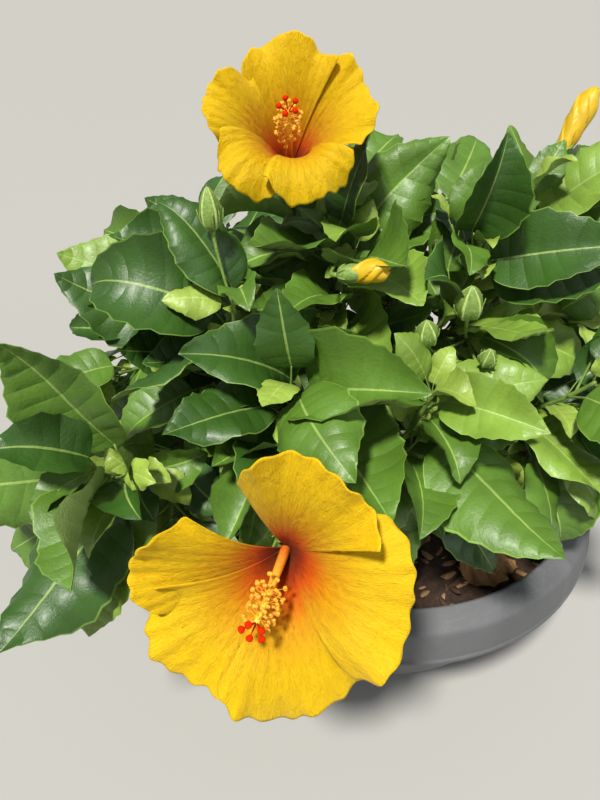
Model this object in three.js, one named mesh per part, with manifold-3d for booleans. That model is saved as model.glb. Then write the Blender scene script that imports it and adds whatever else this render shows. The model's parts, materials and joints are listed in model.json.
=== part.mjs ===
import * as THREE from 'three';
import { mergeVertices } from 'three/addons/utils/BufferGeometryUtils.js';
import Module from 'manifold-3d';

// A yellow hibiscus shrub, planted in a low round bowl planter.
// Millimetres, +Z up, origin at the centre of the pot's flat underside, -Y towards the front.

const wasm = await Module();
wasm.setup();

// Driving dimensions
const clearance = 0.3;
const weld = 1e-3;
const flatness = 0.03;
const goldenAngle = THREE.MathUtils.degToRad(137.5);
const fullTurn = 2 * Math.PI;

const pot = {
  segments: 34,
  height: 180,
  lipRadius: 225,
  creaseRadius: 219,
  openingRadius: 197,
  baseRadius: 150,
  bellyRadius: 194,
  bellyHeight: 30,
  neckHeight: 158,
  creaseDrop: 9,
  bandHeight: 36,
  lipHeight: 4,
  lipStep: 1.5,
  wall: 4,
  floor: 6,
  edgeRound: 2.5,
  footRound: 5,
  floorRound: 10,
  bowlSteps: 3,
};
const soil = { edgeHeight: 150, edgeRound: 2, dome: 3, flatRadius: 40 };

const trunk = {
  foot: [8, 6],
  fork: [-4, 2, 232],
  footRadius: 12,
  forkRadius: 8.5,
  flare: 7,
  flareSharpness: 5,
  sides: 10,
  steps: 7,
};

const bough = { sides: 6, steps: 4, stemSides: 5 };
const twig = {
  sides: 4,
  steps: 3,
  count: 3,
  firstShare: 0.08,
  shareStep: 0.27,
  length: 70,
  lengthSpread: 18,
  angle: 0.85,
  lift: 0.55,
  baseShare: 0.8,
  tipRadius: 1.6,
  turnPerAttempt: 1,
  attempts: 7,
  limbGap: 4,
  rootShare: 0.1,
  clearShare: 0.3,
  bareShare: 0.15,
  testBeads: 8,
};

const leaf = {
  length: 104,
  lengthSpread: 18,
  youngShare: 0.62,
  youngOnset: 3,
  widthShare: 0.33,
  widestAt: 0.4,
  bluntness: 0.85,
  thicknessShare: 0.013,
  spacing: 15,
  firstShare: 0.08,
  lastShare: 0.97,
  stations: [0.26, 0.66],
  leastThickness: 1,
  petioleLength: 27,
  petioleRadius: 1.15,
  smallestPetiole: 0.75,
  // A three-sided stalk: one corner counts twice, because the blade has four
  petioleCorners: [[1, 0.6], [1, 0.6], [-1, 0.6], [0, -1.1]],
  angle: 1.0,
  angleLossWithAge: 0.35,
  sag: 0.25,
  reachOut: 0.4,
  light: [-0.1, -0.55, 1],
  lightOut: 0.3,
  roll: 0.8,
  droop: 0.7,
  droopSpread: 0.5,
  fold: 0.28,
  attempts: 18,
  turnPerAttempt: 0.9,
  shrinkPerAttempt: 0.98,
  petiolePerAttempt: 1.04,
  anglePerAttempt: 0.25,
  testRows: 8,
  testColumns: 6,
  petioleTests: [0.4, 0.7, 1],
  leafGap: 7,
  limbGap: 2.5,
};

// The space of a mass: a round reach about its heart, cut a little past the plane midway to each
// neighbouring heart; inside it the mass keeps clear of everything that has grown already
const space = { heartShare: 0.9, radius: 165, overreach: 35, potGap: 4, lowest: 122, beads: 14 };

// Each branch leaves its parent limb at a share of the parent's length and ends at its shoot tip.
// It is a bare bough up to its bare share, then the stem of a mass of foliage or of a flower.
const branches = [
  { name: 'top', parent: 'trunk', at: 1, tip: [-96, 18, 436], radius: 6.8, seed: 80 },
  { name: 'left', parent: 'trunk', at: 0.8, tip: [-238, -42, 352], radius: 6.6, seed: 60 },
  { name: 'front', parent: 'trunk', at: 0.7, tip: [-118, -168, 322], radius: 6.2, seed: 95 },
  { name: 'right', parent: 'trunk', at: 0.9, tip: [156, 34, 392], radius: 6.4, seed: 8 },
  { name: 'back', parent: 'trunk', at: 1, tip: [34, 92, 416], radius: 6.0, seed: 58 },
  { name: 'centre', parent: 'top', at: 0.3, tip: [-66, -66, 384], radius: 4.8, seed: 32 },
  { name: 'front_right', parent: 'front', at: 0.24, tip: [2, -164, 300], radius: 4.6, seed: 11 },
  { name: 'right_front', parent: 'back', at: 0.26, tip: [42, -88, 376], radius: 4.8, seed: 62 },
  { name: 'left_front', parent: 'left', at: 0.36, tip: [-236, -192, 278], radius: 4.8, seed: 68 },
  { name: 'right_low', parent: 'right', at: 0.26, tip: [112, -128, 288], radius: 4.6, seed: 62 },
  { name: 'right_middle', parent: 'right', at: 0.47, tip: [158, -50, 312], radius: 4.6, seed: 105 },
  { name: 'left_middle', parent: 'left', at: 0.42, tip: [-158, -112, 348], radius: 4.6, seed: 74 },
  { name: 'left_back', parent: 'top', at: 0.2, tip: [-180, 8, 394], radius: 4.8, seed: 83 },
  { name: 'back_left', parent: 'back', at: 0.36, tip: [-122, 116, 356], radius: 4.8, seed: 31 },
  { name: 'back_low', parent: 'back', at: 0.32, tip: [26, 178, 318], radius: 4.6, seed: 35 },
  { name: 'back_right_low', parent: 'right', at: 0.4, tip: [160, 116, 300], radius: 4.6, seed: 59 },
];
const branch = { leafyLength: 112, leastBareShare: 0.22, tipRadius: 2.1, follow: 0.7 };

// Flower buds on short stalks at the shoot tips of some masses: stalk, length and radius of a bud
const buds = {
  left_back: [{ stalk: 34, length: 22, radius: 6 }],
  right_front: [
    { stalk: 26, length: 19, radius: 5.4 },
    { stalk: 15, length: 12, radius: 4 },
    { stalk: 20, length: 9, radius: 3.2 },
  ],
  left: [{ stalk: 18, length: 15, radius: 4.6 }],
};
const bud = {
  sides: 6,
  stalkRadius: 1.3,
  spread: 0.55,
  attempts: 7,
  rootShare: 0.97,
  turnPerBud: 2,
  // Radius and height of the spindle, as shares of the bud's own
  spindle: [[0.6, 0], [1, 0.3], [0.8, 0.62], [0.3, 0.92]],
  sink: 2,
};

// Open flowers: throat, direction of the axis and sizes of the corolla and the column
const blooms = [
  {
    name: 'bloom_front', parent: 'front', at: 0.44, radius: 4,
    throat: [-99, -254, 322], axis: [-0.12, -0.88, 0.46],
    petalRadius: 80, depth: 50, flare: 3, spin: 0.35, ruffle: 4,
    stigma: [-20, -72, -14],
  },
  {
    name: 'bloom_top', parent: 'top', at: 0.42, radius: 3.8,
    throat: [-98, -5, 482], axis: [0.0, -0.67, 0.74],
    petalRadius: 60, depth: 64, flare: 1.8, spin: 0.8, ruffle: 4,
    stigma: [0, -50, 53],
  },
];
const flower = {
  bareShare: 0.68,
  stalkBelow: 27,
  petals: 5,
  petalRows: 4,
  petalColumns: 5,
  rowCrowding: 0.8,
  notch: 0.13,
  notchSharpness: 2.5,
  petalThickness: 1.4,
  petalLap: 1.6,
  waves: 7,
  tubeRadius: 2.6,
  columnRadius: 2.4,
  columnTip: 1.3,
  antherFrom: 0.48,
  antherTo: 0.94,
  antherCount: 10,
  antherLength: 7.5,
  antherRadius: 1.1,
  stigmaRoot: 0.985,
  stigmaSpread: 0.75,
  stigmaLength: 7,
  stigmaRadius: 2.1,
  needleSides: 3,
  needleSink: 0.5,
  needleWidest: 0.75,
  columnSides: 6,
  columnSteps: 5,
  columnSink: 4,
  calyxSides: 8,
  calyxRadius: 8.5,
  calyxSink: 2,
  calyxLap: 4,
  // Radius and height of the calyx, as shares of its own
  calyxShape: [[0.5, 0], [0.85, 0.25], [1, 0.6], [0.9, 1]],
  stalkSteps: 3,
  // The room left free about an open flower
  roomBeside: 10,
  roomBehind: 16,
  roomInFront: 130,
  roomByStalk: 15,
  stalkRoomLength: 42,
};
const closedBloom = {
  name: 'bloom_closed', parent: 'right', at: 0.34, radius: 3.4,
  throat: [154, 89, 474], axis: [0.43, 0.34, 0.84], length: 58, petalRadius: 11,
  sides: 12,
  sink: 6,
  // Radius and height of the rolled petals, as shares of the flower's own
  shape: [[0.6, -0.07], [0.8, 0.25], [1, 0.6], [0.75, 0.86], [0.25, 1]],
};

// Vectors
const vector = (values) => new THREE.Vector3(...values);
const up = new THREE.Vector3(0, 0, 1);

function alongDirection(point, direction, distance) {
  return point.clone().addScaledVector(direction, distance);
}

function perpendicularTo(direction) {
  const helper = Math.abs(direction.z) < 0.9 ? up : new THREE.Vector3(1, 0, 0);
  return new THREE.Vector3().crossVectors(direction, helper).normalize();
}

function aroundDirection(direction, angle) {
  const first = perpendicularTo(direction);
  const second = new THREE.Vector3().crossVectors(direction, first);
  return first.multiplyScalar(Math.cos(angle)).addScaledVector(second, Math.sin(angle));
}

function seeded(seed) {
  let state = seed >>> 0;
  return () => {
    state = (Math.imul(state, 1664525) + 1013904223) >>> 0;
    return state / 2 ** 32;
  };
}

// Solids
function solidOf(geometry) {
  const bare = geometry.clone();
  bare.deleteAttribute('normal');
  bare.deleteAttribute('uv');
  const welded = mergeVertices(bare, weld);
  const corners = welded.index.array;
  const triangles = [];
  for (let i = 0; i < corners.length; i += 3) {
    const [a, b, c] = corners.slice(i, i + 3);
    if (a !== b && b !== c && c !== a) triangles.push(a, b, c);
  }
  return new wasm.Manifold(new wasm.Mesh({
    numProp: 3,
    vertProperties: new Float32Array(welded.attributes.position.array),
    triVerts: new Uint32Array(triangles),
  }));
}

function joined(solids) {
  return wasm.Manifold.union(solids);
}

function geometryOf(solid) {
  const { vertProperties, triVerts } = solid.getMesh();
  const geometry = new THREE.BufferGeometry();
  geometry.setAttribute('position', new THREE.BufferAttribute(new Float32Array(vertProperties), 3));
  geometry.setIndex(new THREE.BufferAttribute(new Uint32Array(triVerts), 1));
  return geometry;
}

// The main body of a fused solid, without loose scraps and without the slivers along its seams
function largestPiece(solid) {
  const pieces = solidOf(geometryOf(solid)).simplify(flatness).decompose();
  return pieces.reduce((a, b) => (b.volume() > a.volume() ? b : a));
}

function meshOf(name, solid, look) {
  const geometry = geometryOf(solid);
  geometry.computeVertexNormals();
  const mesh = new THREE.Mesh(geometry, new THREE.MeshStandardMaterial(look));
  mesh.name = name;
  return mesh;
}

// A round body about the Z axis from a profile of [radius, height] points that starts and ends on it
function turned(profile, segments) {
  const points = profile.map(([radius, height]) => new THREE.Vector2(radius, height));
  return new THREE.LatheGeometry(points, segments).rotateX(Math.PI / 2);
}

// A closed skin over sections of equally many points each, with flat or pointed ends
function loftGeometry(sections) {
  const sides = sections[0].length;
  const last = (sections.length - 1) * sides;
  const triangles = [];
  for (let i = 0; i + 1 < sections.length; i++) {
    for (let j = 0; j < sides; j++) {
      const [a, b] = [i * sides + j, i * sides + ((j + 1) % sides)];
      triangles.push(a, b, b + sides, a, b + sides, a + sides);
    }
  }
  for (let j = 1; j + 1 < sides; j++) {
    triangles.push(0, j + 1, j, last, last + j, last + j + 1);
  }
  const geometry = new THREE.BufferGeometry();
  geometry.setAttribute('position', new THREE.Float32BufferAttribute(sections.flat(2), 3));
  geometry.setIndex(triangles);
  return geometry;
}

// A closed ring skin whose last section meets its first
function ringGeometry(sections) {
  const sides = sections[0].length;
  const count = sections.length * sides;
  const triangles = [];
  for (let i = 0; i < sections.length; i++) {
    for (let j = 0; j < sides; j++) {
      const [a, b] = [i * sides + j, i * sides + ((j + 1) % sides)];
      const [c, d] = [(b + sides) % count, (a + sides) % count];
      triangles.push(a, c, b, a, d, c);
    }
  }
  const geometry = new THREE.BufferGeometry();
  geometry.setAttribute('position', new THREE.Float32BufferAttribute(sections.flat(2), 3));
  geometry.setIndex(triangles);
  return geometry;
}

// Limbs: one tapering round body along a curve that bends once
function limbAlong(start, bend, end, radiusAt) {
  const curve = new THREE.QuadraticBezierCurve3(start, bend, end);
  const turn = new THREE.Vector3().crossVectors(bend.clone().sub(start), end.clone().sub(bend));
  const chord = end.clone().sub(start).normalize();
  const sideways = turn.length() > 1e-3 ? turn.normalize() : perpendicularTo(chord);
  return { curve, sideways, radiusAt, length: curve.getLength() };
}

function limbGeometry(limb, from, to, sides, steps, grow = 0) {
  const geometry = new THREE.CylinderGeometry(1, 1, 1, sides, steps);
  const position = geometry.attributes.position;
  for (let i = 0; i < position.count; i++) {
    const share = from + (to - from) * (position.getY(i) + 0.5);
    const along = limb.curve.getTangent(share);
    const across = new THREE.Vector3().crossVectors(along, limb.sideways);
    const radius = limb.radiusAt(share) + grow;
    const point = limb.curve.getPoint(share);
    point.addScaledVector(across, position.getX(i) * radius);
    point.addScaledVector(limb.sideways, position.getZ(i) * radius);
    if (Math.abs(position.getY(i)) === 0.5) {
      point.addScaledVector(along, Math.sign(position.getY(i)) * grow);
    }
    position.setXYZ(i, ...point);
  }
  return geometry;
}

// The stretch of a limb between two shares of its length, as round beads for the distance tests
function beadsOf(limb, from, to, steps) {
  const beads = [];
  for (let i = 0; i <= steps; i++) {
    const share = from + ((to - from) * i) / steps;
    beads.push({ centre: limb.curve.getPoint(share), radius: limb.radiusAt(share) });
  }
  return beads;
}

function distanceToBeads(point, beads) {
  let nearest = Infinity;
  const step = new THREE.Vector3();
  const offset = new THREE.Vector3();
  for (let i = 0; i + 1 < beads.length; i++) {
    step.subVectors(beads[i + 1].centre, beads[i].centre);
    offset.subVectors(point, beads[i].centre);
    const share = THREE.MathUtils.clamp(offset.dot(step) / step.lengthSq(), 0, 1);
    const gap = offset.addScaledVector(step, -share).length() - beads[i].radius;
    nearest = Math.min(nearest, gap);
  }
  return nearest;
}

// Pot: a thin bowl under a rim that is folded outwards and down into a band with a lip
function bowlCurve(inset) {
  return new THREE.QuadraticBezierCurve(
    new THREE.Vector2(pot.baseRadius - inset, pot.footRound + inset / 2),
    new THREE.Vector2(pot.bellyRadius - inset, pot.bellyHeight + inset / 2),
    new THREE.Vector2(pot.openingRadius + pot.wall - inset, pot.neckHeight),
  );
}

function potProfile() {
  const lipBottom = pot.height - pot.creaseDrop - pot.bandHeight;
  const outside = bowlCurve(0).getPoints(pot.bowlSteps).map((p) => [p.x, p.y]);
  const inside = bowlCurve(pot.wall).getPoints(pot.bowlSteps).map((p) => [p.x, p.y]);
  return [
    [0, 0],
    [pot.baseRadius - pot.footRound, 0],
    ...outside,
    [pot.creaseRadius - pot.wall, pot.neckHeight + pot.edgeRound],
    [pot.lipRadius - pot.wall, lipBottom],
    [pot.lipRadius, lipBottom],
    [pot.lipRadius, lipBottom + pot.lipHeight],
    [pot.lipRadius - pot.lipStep, lipBottom + pot.lipHeight + pot.lipStep],
    [pot.creaseRadius, pot.height - pot.creaseDrop],
    [pot.openingRadius + pot.edgeRound, pot.height],
    [pot.openingRadius, pot.height - pot.edgeRound],
    ...inside.reverse(),
    [pot.baseRadius - pot.floorRound, pot.floor],
    [0, pot.floor],
  ];
}

function soilProfile() {
  const inset = pot.wall + clearance;
  const wallSide = bowlCurve(inset).getPoints(pot.bowlSteps).map((p) => [p.x, p.y + clearance]);
  const shoulder = soil.edgeHeight - soil.edgeRound;
  const buried = wallSide.filter(([, height]) => height < shoulder);
  const [edgeRadius] = wallSide.find(([, height]) => height >= shoulder);
  return [
    [0, pot.floor + clearance],
    [pot.baseRadius - pot.floorRound - clearance, pot.floor + clearance],
    ...buried,
    [edgeRadius - soil.edgeRound, soil.edgeHeight],
    [soil.flatRadius, soil.edgeHeight + soil.dome],
    [0, soil.edgeHeight + soil.dome],
  ];
}

// Trunk and branches
function trunkLimb() {
  const ground = soil.edgeHeight + soil.dome + clearance;
  const foot = vector([...trunk.foot, ground]);
  const fork = vector(trunk.fork);
  const bend = vector([...trunk.foot, (ground + trunk.fork[2]) / 2]);
  const radiusAt = (share) => {
    const taper = THREE.MathUtils.lerp(trunk.footRadius, trunk.forkRadius, share);
    return taper + trunk.flare * Math.exp(-trunk.flareSharpness * share);
  };
  return { ...limbAlong(foot, bend, fork, radiusAt), bareShare: 1 };
}

function branchLimb(parent, plan) {
  const start = parent.curve.getPoint(plan.at);
  const end = vector(plan.tip);
  const chord = end.clone().sub(start);
  const reach = chord.length();
  const departure = parent.curve.getTangent(plan.at).multiplyScalar(branch.follow);
  departure.add(chord.normalize()).normalize();
  const bend = alongDirection(start, departure, reach / 2);
  const radiusAt = (share) => THREE.MathUtils.lerp(plan.radius, branch.tipRadius, share);
  const limb = limbAlong(start, bend, end, radiusAt);
  const bareShare = Math.max(1 - branch.leafyLength / limb.length, branch.leastBareShare);
  return { ...limb, bareShare };
}

function flowerLimb(parent, plan) {
  const start = parent.curve.getPoint(plan.at);
  const axis = vector(plan.axis).normalize();
  const end = alongDirection(vector(plan.throat), axis, -flower.stalkBelow);
  const bend = alongDirection(end, axis, -start.distanceTo(end) / 2);
  const radiusAt = (share) => THREE.MathUtils.lerp(plan.radius, branch.tipRadius, share);
  return { ...limbAlong(start, bend, end, radiusAt), bareShare: flower.bareShare };
}

const limbs = new Map([['trunk', trunkLimb()]]);
for (const plan of branches) limbs.set(plan.name, branchLimb(limbs.get(plan.parent), plan));
for (const plan of [...blooms, closedBloom]) {
  limbs.set(plan.name, flowerLimb(limbs.get(plan.parent), plan));
}

// Space of each mass, clear of the pot, the limbs and the flowers
const hearts = new Map(branches.map(({ name }) => (
  [name, limbs.get(name).curve.getPoint(space.heartShare)])));
const crownCentre = [...hearts.values()]
  .reduce((sum, heart) => sum.add(heart), new THREE.Vector3())
  .divideScalar(hearts.size);

function inOwnSpace(name, point) {
  const heart = hearts.get(name);
  if (point.distanceTo(heart) > space.radius) return false;
  for (const [other, otherHeart] of hearts) {
    if (other === name) continue;
    const apart = otherHeart.clone().sub(heart);
    const middle = heart.clone().add(otherHeart).multiplyScalar(0.5);
    const beyond = point.clone().sub(middle).dot(apart.normalize());
    if (beyond > space.overreach) return false;
  }
  return true;
}

function clearOfPot(point) {
  const radius = Math.hypot(point.x, point.y);
  if (point.z > pot.height + space.potGap) return true;
  return radius > pot.lipRadius + space.potGap && point.z > space.lowest;
}

function clearOfBlooms(point) {
  for (const bloom of blooms) {
    const axis = vector(bloom.axis).normalize();
    const offset = point.clone().sub(vector(bloom.throat));
    const height = offset.dot(axis);
    const radius = offset.addScaledVector(axis, -height).length();
    const share = Math.min(radius / bloom.petalRadius, 1);
    const funnel = bloom.depth * (1 - (1 - share) ** bloom.flare);
    const beside = radius > bloom.petalRadius + flower.roomBeside;
    const byStalk = height < 0 && height >= -flower.stalkRoomLength && radius <= flower.roomByStalk;
    const behind = height < funnel - flower.roomBehind && !byStalk;
    if (!beside && !behind && height < flower.roomInFront) return false;
  }
  return true;
}

function rollBeads(plan) {
  const throat = vector(plan.throat);
  const tip = alongDirection(throat, vector(plan.axis).normalize(), plan.length);
  return [throat, tip].map((centre) => ({ centre, radius: plan.petalRadius }));
}

// Whatever a mass keeps clear of, as beads: every limb but its own leafy stem, and the closed flower
function obstaclesOf(name) {
  const obstacles = [...limbs].map(([other, limb]) => (
    beadsOf(limb, 0, other === name ? limb.bareShare : 1, space.beads)));
  return [...obstacles, rollBeads(closedBloom)];
}

// Leaves: an ovate blade on a petiole, folded along its midrib and arched down to its tip
function leafOutline(share) {
  const skew = Math.log(0.5) / Math.log(leaf.widestAt);
  return Math.sin(Math.PI * share ** skew) ** leaf.bluntness;
}

function leafAt(shoot, share, azimuth, plan) {
  const root = shoot.curve.getPoint(share);
  const stemward = shoot.curve.getTangent(share);
  const outward = root.clone().sub(crownCentre).setZ(0).normalize();
  const sideways = aroundDirection(stemward, azimuth);
  const rise = stemward.clone().multiplyScalar(Math.cos(plan.angle));
  rise.addScaledVector(sideways, Math.sin(plan.angle)).normalize();
  const heading = rise.clone().addScaledVector(outward, leaf.reachOut);
  heading.addScaledVector(up, -leaf.sag).normalize();
  const petioleLength = leaf.petioleLength * (plan.length / leaf.length) * plan.stretch;
  const base = alongDirection(root, rise, petioleLength);
  const light = vector(leaf.light).addScaledVector(outward, leaf.lightOut);
  const facing = light.addScaledVector(heading, -light.dot(heading)).normalize();
  facing.applyAxisAngle(heading, plan.roll);
  const across = new THREE.Vector3().crossVectors(facing, heading);
  const surface = (u, v) => {
    const bend = plan.droop * u;
    const point = base.clone();
    point.addScaledVector(heading, (plan.length * Math.sin(bend)) / plan.droop);
    point.addScaledVector(facing, (-plan.length * (1 - Math.cos(bend))) / plan.droop);
    const normal = facing.clone().multiplyScalar(Math.cos(bend));
    normal.addScaledVector(heading, Math.sin(bend));
    const half = plan.length * leaf.widthShare * leafOutline(u);
    point.addScaledVector(across, v * half * Math.cos(leaf.fold));
    point.addScaledVector(normal, Math.abs(v) * half * Math.sin(leaf.fold));
    return { point, normal };
  };
  return { root, base, rise, heading, surface, plan };
}

function bladePoints(placed) {
  const points = [];
  for (let i = 1; i <= leaf.testRows; i++) {
    for (let j = 0; j <= leaf.testColumns; j++) {
      points.push(placed.surface(i / leaf.testRows, (2 * j) / leaf.testColumns - 1).point);
    }
  }
  const centre = placed.surface(0.5, 0).point;
  const reach = Math.max(...points.map((point) => point.distanceTo(centre)));
  return { points, centre, reach };
}

function crowded(point, others) {
  for (const other of others) {
    if (point.distanceTo(other.centre) > other.reach + leaf.leafGap) continue;
    if (other.points.some((placed) => placed.distanceTo(point) < leaf.leafGap)) return true;
  }
  return false;
}

function isFree(name, point, crown, gap) {
  return inOwnSpace(name, point) && clearOfPot(point) && clearOfBlooms(point)
    && !crowded(point, crown.blades)
    && crown.limbs.every((beads) => distanceToBeads(point, beads) > gap);
}

function leafFits(name, placed, blade, crown) {
  const petiole = leaf.petioleTests.map((t) => placed.root.clone().lerp(placed.base, t));
  return blade.points.every((point) => isFree(name, point, crown, leaf.limbGap))
    && petiole.every((point) => !crowded(point, crown.blades));
}

function leafSolid({ root, base, rise, heading, surface, plan }) {
  const size = Math.max(plan.length / leaf.length, leaf.smallestPetiole);
  const halfThickness = Math.max(plan.length * leaf.thicknessShare, leaf.leastThickness) / 2;
  const across = surface(0.5, 1).point.sub(surface(0.5, -1).point).normalize();
  const petioleAt = (point, direction) => {
    const lift = new THREE.Vector3().crossVectors(direction, across).normalize();
    const sideways = new THREE.Vector3().crossVectors(lift, direction);
    const corner = ([beside, above]) => point.clone()
      .addScaledVector(sideways, beside * leaf.petioleRadius * size)
      .addScaledVector(lift, above * leaf.petioleRadius * size);
    return leaf.petioleCorners.map((place) => corner(place).toArray());
  };
  const bladeAt = (u) => {
    const middle = surface(u, 0);
    return [
      surface(u, 1).point.toArray(),
      alongDirection(middle.point, middle.normal, halfThickness).toArray(),
      surface(u, -1).point.toArray(),
      alongDirection(middle.point, middle.normal, -halfThickness).toArray(),
    ];
  };
  const tip = surface(1, 0).point.toArray();
  return solidOf(loftGeometry([
    petioleAt(root, rise),
    petioleAt(base, rise.clone().add(heading).normalize()),
    ...leaf.stations.map(bladeAt),
    [tip, tip, tip, tip],
  ]));
}

// Twigs: side shoots of a mass's stem that turn upwards
function twigsOf(name, stem, from, random, crown) {
  const twigs = [];
  for (let k = 0; k < twig.count; k++) {
    const share = from + (1 - from) * (twig.firstShare + twig.shareStep * k);
    const azimuth = random() * fullTurn;
    const length = twig.length + twig.lengthSpread * (random() * 2 - 1);
    const baseRadius = stem.radiusAt(share) * twig.baseShare;
    const radiusAt = (t) => THREE.MathUtils.lerp(baseRadius, twig.tipRadius, t);
    for (let attempt = 0; attempt < twig.attempts; attempt++) {
      const start = stem.curve.getPoint(share);
      const along = stem.curve.getTangent(share);
      const sideways = aroundDirection(along, azimuth + twig.turnPerAttempt * attempt);
      const heading = along.multiplyScalar(Math.cos(twig.angle));
      heading.addScaledVector(sideways, Math.sin(twig.angle)).normalize();
      const bend = alongDirection(start, heading, length / 2);
      const rising = heading.clone().addScaledVector(up, twig.lift).normalize();
      const shoot = limbAlong(start, bend, alongDirection(bend, rising, length / 2), radiusAt);
      const points = beadsOf(shoot, twig.clearShare, 1, twig.testBeads).map((bead) => bead.centre);
      if (points.every((point) => isFree(name, point, crown, twig.limbGap))) {
        twigs.push(shoot);
        crown.limbs.push(beadsOf(shoot, twig.rootShare, 1, twig.testBeads));
        break;
      }
    }
  }
  return twigs;
}

// Buds: a pointed spindle on a stalk, with its calyx at the foot
function budsOf(name, shoots, crown) {
  const grown = [];
  (buds[name] ?? []).forEach((plan, k) => {
    const { curve } = shoots[k % shoots.length];
    const start = curve.getPoint(bud.rootShare);
    for (let attempt = 0; attempt < bud.attempts; attempt++) {
      const heading = curve.getTangent(1);
      const turn = bud.turnPerBud * k + attempt;
      heading.addScaledVector(aroundDirection(curve.getTangent(1), turn), bud.spread);
      heading.normalize();
      const beads = [0.4, 1].map((t) => ({
        centre: alongDirection(start, heading, t * (plan.stalk + plan.length)),
        radius: plan.radius,
      }));
      if (beads.every(({ centre }) => isFree(name, centre, crown, plan.radius))) {
        grown.push({ start, heading, plan });
        crown.limbs.push(beads);
        break;
      }
    }
  });
  return grown;
}

function budSolid({ start, heading, plan }) {
  const foot = alongDirection(start, heading, plan.stalk);
  const stalk = limbAlong(start, start.clone().lerp(foot, 0.5), foot, () => bud.stalkRadius);
  const sides = bud.spindle.map(([radius, height]) => [radius * plan.radius, height * plan.length]);
  const spindle = turned([[0, -bud.sink], ...sides, [0, plan.length]], bud.sides);
  spindle.applyQuaternion(new THREE.Quaternion().setFromUnitVectors(up, heading));
  spindle.translate(...foot);
  return joined([solidOf(limbGeometry(stalk, 0, 1, bough.stemSides, 1)), solidOf(spindle)]);
}

// Masses: a stem that carries on from its bough, with twigs, buds and leaves fused on
function leavesOf(name, { shoot, from }, random, crown) {
  const leaves = [];
  const leafyLength = shoot.length * (1 - from);
  const count = Math.round((leafyLength * (1 - leaf.firstShare)) / leaf.spacing);
  let azimuth = random() * fullTurn;
  for (let k = 0; k <= count; k++) {
    const age = leaf.firstShare + (1 - leaf.firstShare) * (k / count);
    const share = from + (leaf.lastShare - from) * age;
    const jitter = [random(), random(), random()].map((value) => value * 2 - 1);
    const young = THREE.MathUtils.lerp(1, leaf.youngShare, age ** leaf.youngOnset);
    azimuth += goldenAngle;
    for (let attempt = 0; attempt < leaf.attempts; attempt++) {
      const plan = {
        length: (leaf.length + leaf.lengthSpread * jitter[0]) * young
          * leaf.shrinkPerAttempt ** attempt,
        stretch: leaf.petiolePerAttempt ** attempt,
        roll: leaf.roll * jitter[1] * Math.abs(jitter[1]),
        droop: leaf.droop + leaf.droopSpread * jitter[2],
        angle: leaf.angle * (1 - leaf.angleLossWithAge * age)
          + leaf.anglePerAttempt * ((attempt % 3) - 1),
      };
      const placed = leafAt(shoot, share, azimuth + leaf.turnPerAttempt * attempt, plan);
      const blade = bladePoints(placed);
      if (leafFits(name, placed, blade, crown)) {
        leaves.push(placed);
        crown.blades.push(blade);
        break;
      }
    }
  }
  return leaves;
}

function growMass({ name, seed }, crown) {
  const random = seeded(seed);
  const stem = limbs.get(name);
  const from = stem.bareShare + clearance / stem.length;
  crown.limbs = [...crown.shoots, ...obstaclesOf(name), beadsOf(stem, from, 1, space.beads)];
  const known = crown.limbs.length;
  const twigs = twigsOf(name, stem, from, random, crown);
  const flowerBuds = budsOf(name, [stem, ...twigs], crown);
  const shoots = [{ shoot: stem, from }, ...twigs.map((shoot) => ({ shoot, from: twig.bareShare }))];
  const leaves = shoots.flatMap((each) => leavesOf(name, each, random, crown));
  crown.shoots.push(...crown.limbs.slice(known));
  return { stem, from, twigs, flowerBuds, leaves };
}

function massSolid(plan, crown, neighbours) {
  const { stem, from, twigs, flowerBuds, leaves } = growMass(plan, crown);
  const grown = [
    ...twigs.map((shoot) => solidOf(limbGeometry(shoot, 0, 1, twig.sides, twig.steps))),
    ...flowerBuds.map(budSolid),
    ...leaves.map(leafSolid),
  ];
  const clear = grown.filter((solid) => (
    neighbours.every((other) => solid.intersect(other).isEmpty())));
  const bareStem = solidOf(limbGeometry(stem, from, 1, bough.stemSides, bough.steps));
  return largestPiece(joined([bareStem, ...clear]));
}

// Flowers: a funnel of five lapping petals, a calyx under it, a column with anthers and stigmas
function corollaPoint(bloom, { throat, axis, first, second }, u, column) {
  const { petals, petalColumns, notch, notchSharpness, tubeRadius, petalLap } = flower;
  const angle = bloom.spin + (column * fullTurn) / (petals * petalColumns);
  const v = (2 * (column % petalColumns)) / petalColumns - 1;
  const share = u * (1 - notch * Math.abs(v) ** notchSharpness);
  const radius = tubeRadius + (bloom.petalRadius - tubeRadius) * share;
  const funnel = bloom.depth * (1 - (1 - share) ** bloom.flare);
  const wave = bloom.ruffle * u ** 3 * Math.sin(flower.waves * angle);
  const lap = petalLap * v * Math.sin(Math.PI * u);
  return throat.clone()
    .addScaledVector(axis, funnel + wave + lap)
    .addScaledVector(first, radius * Math.cos(angle))
    .addScaledVector(second, radius * Math.sin(angle));
}

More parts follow.
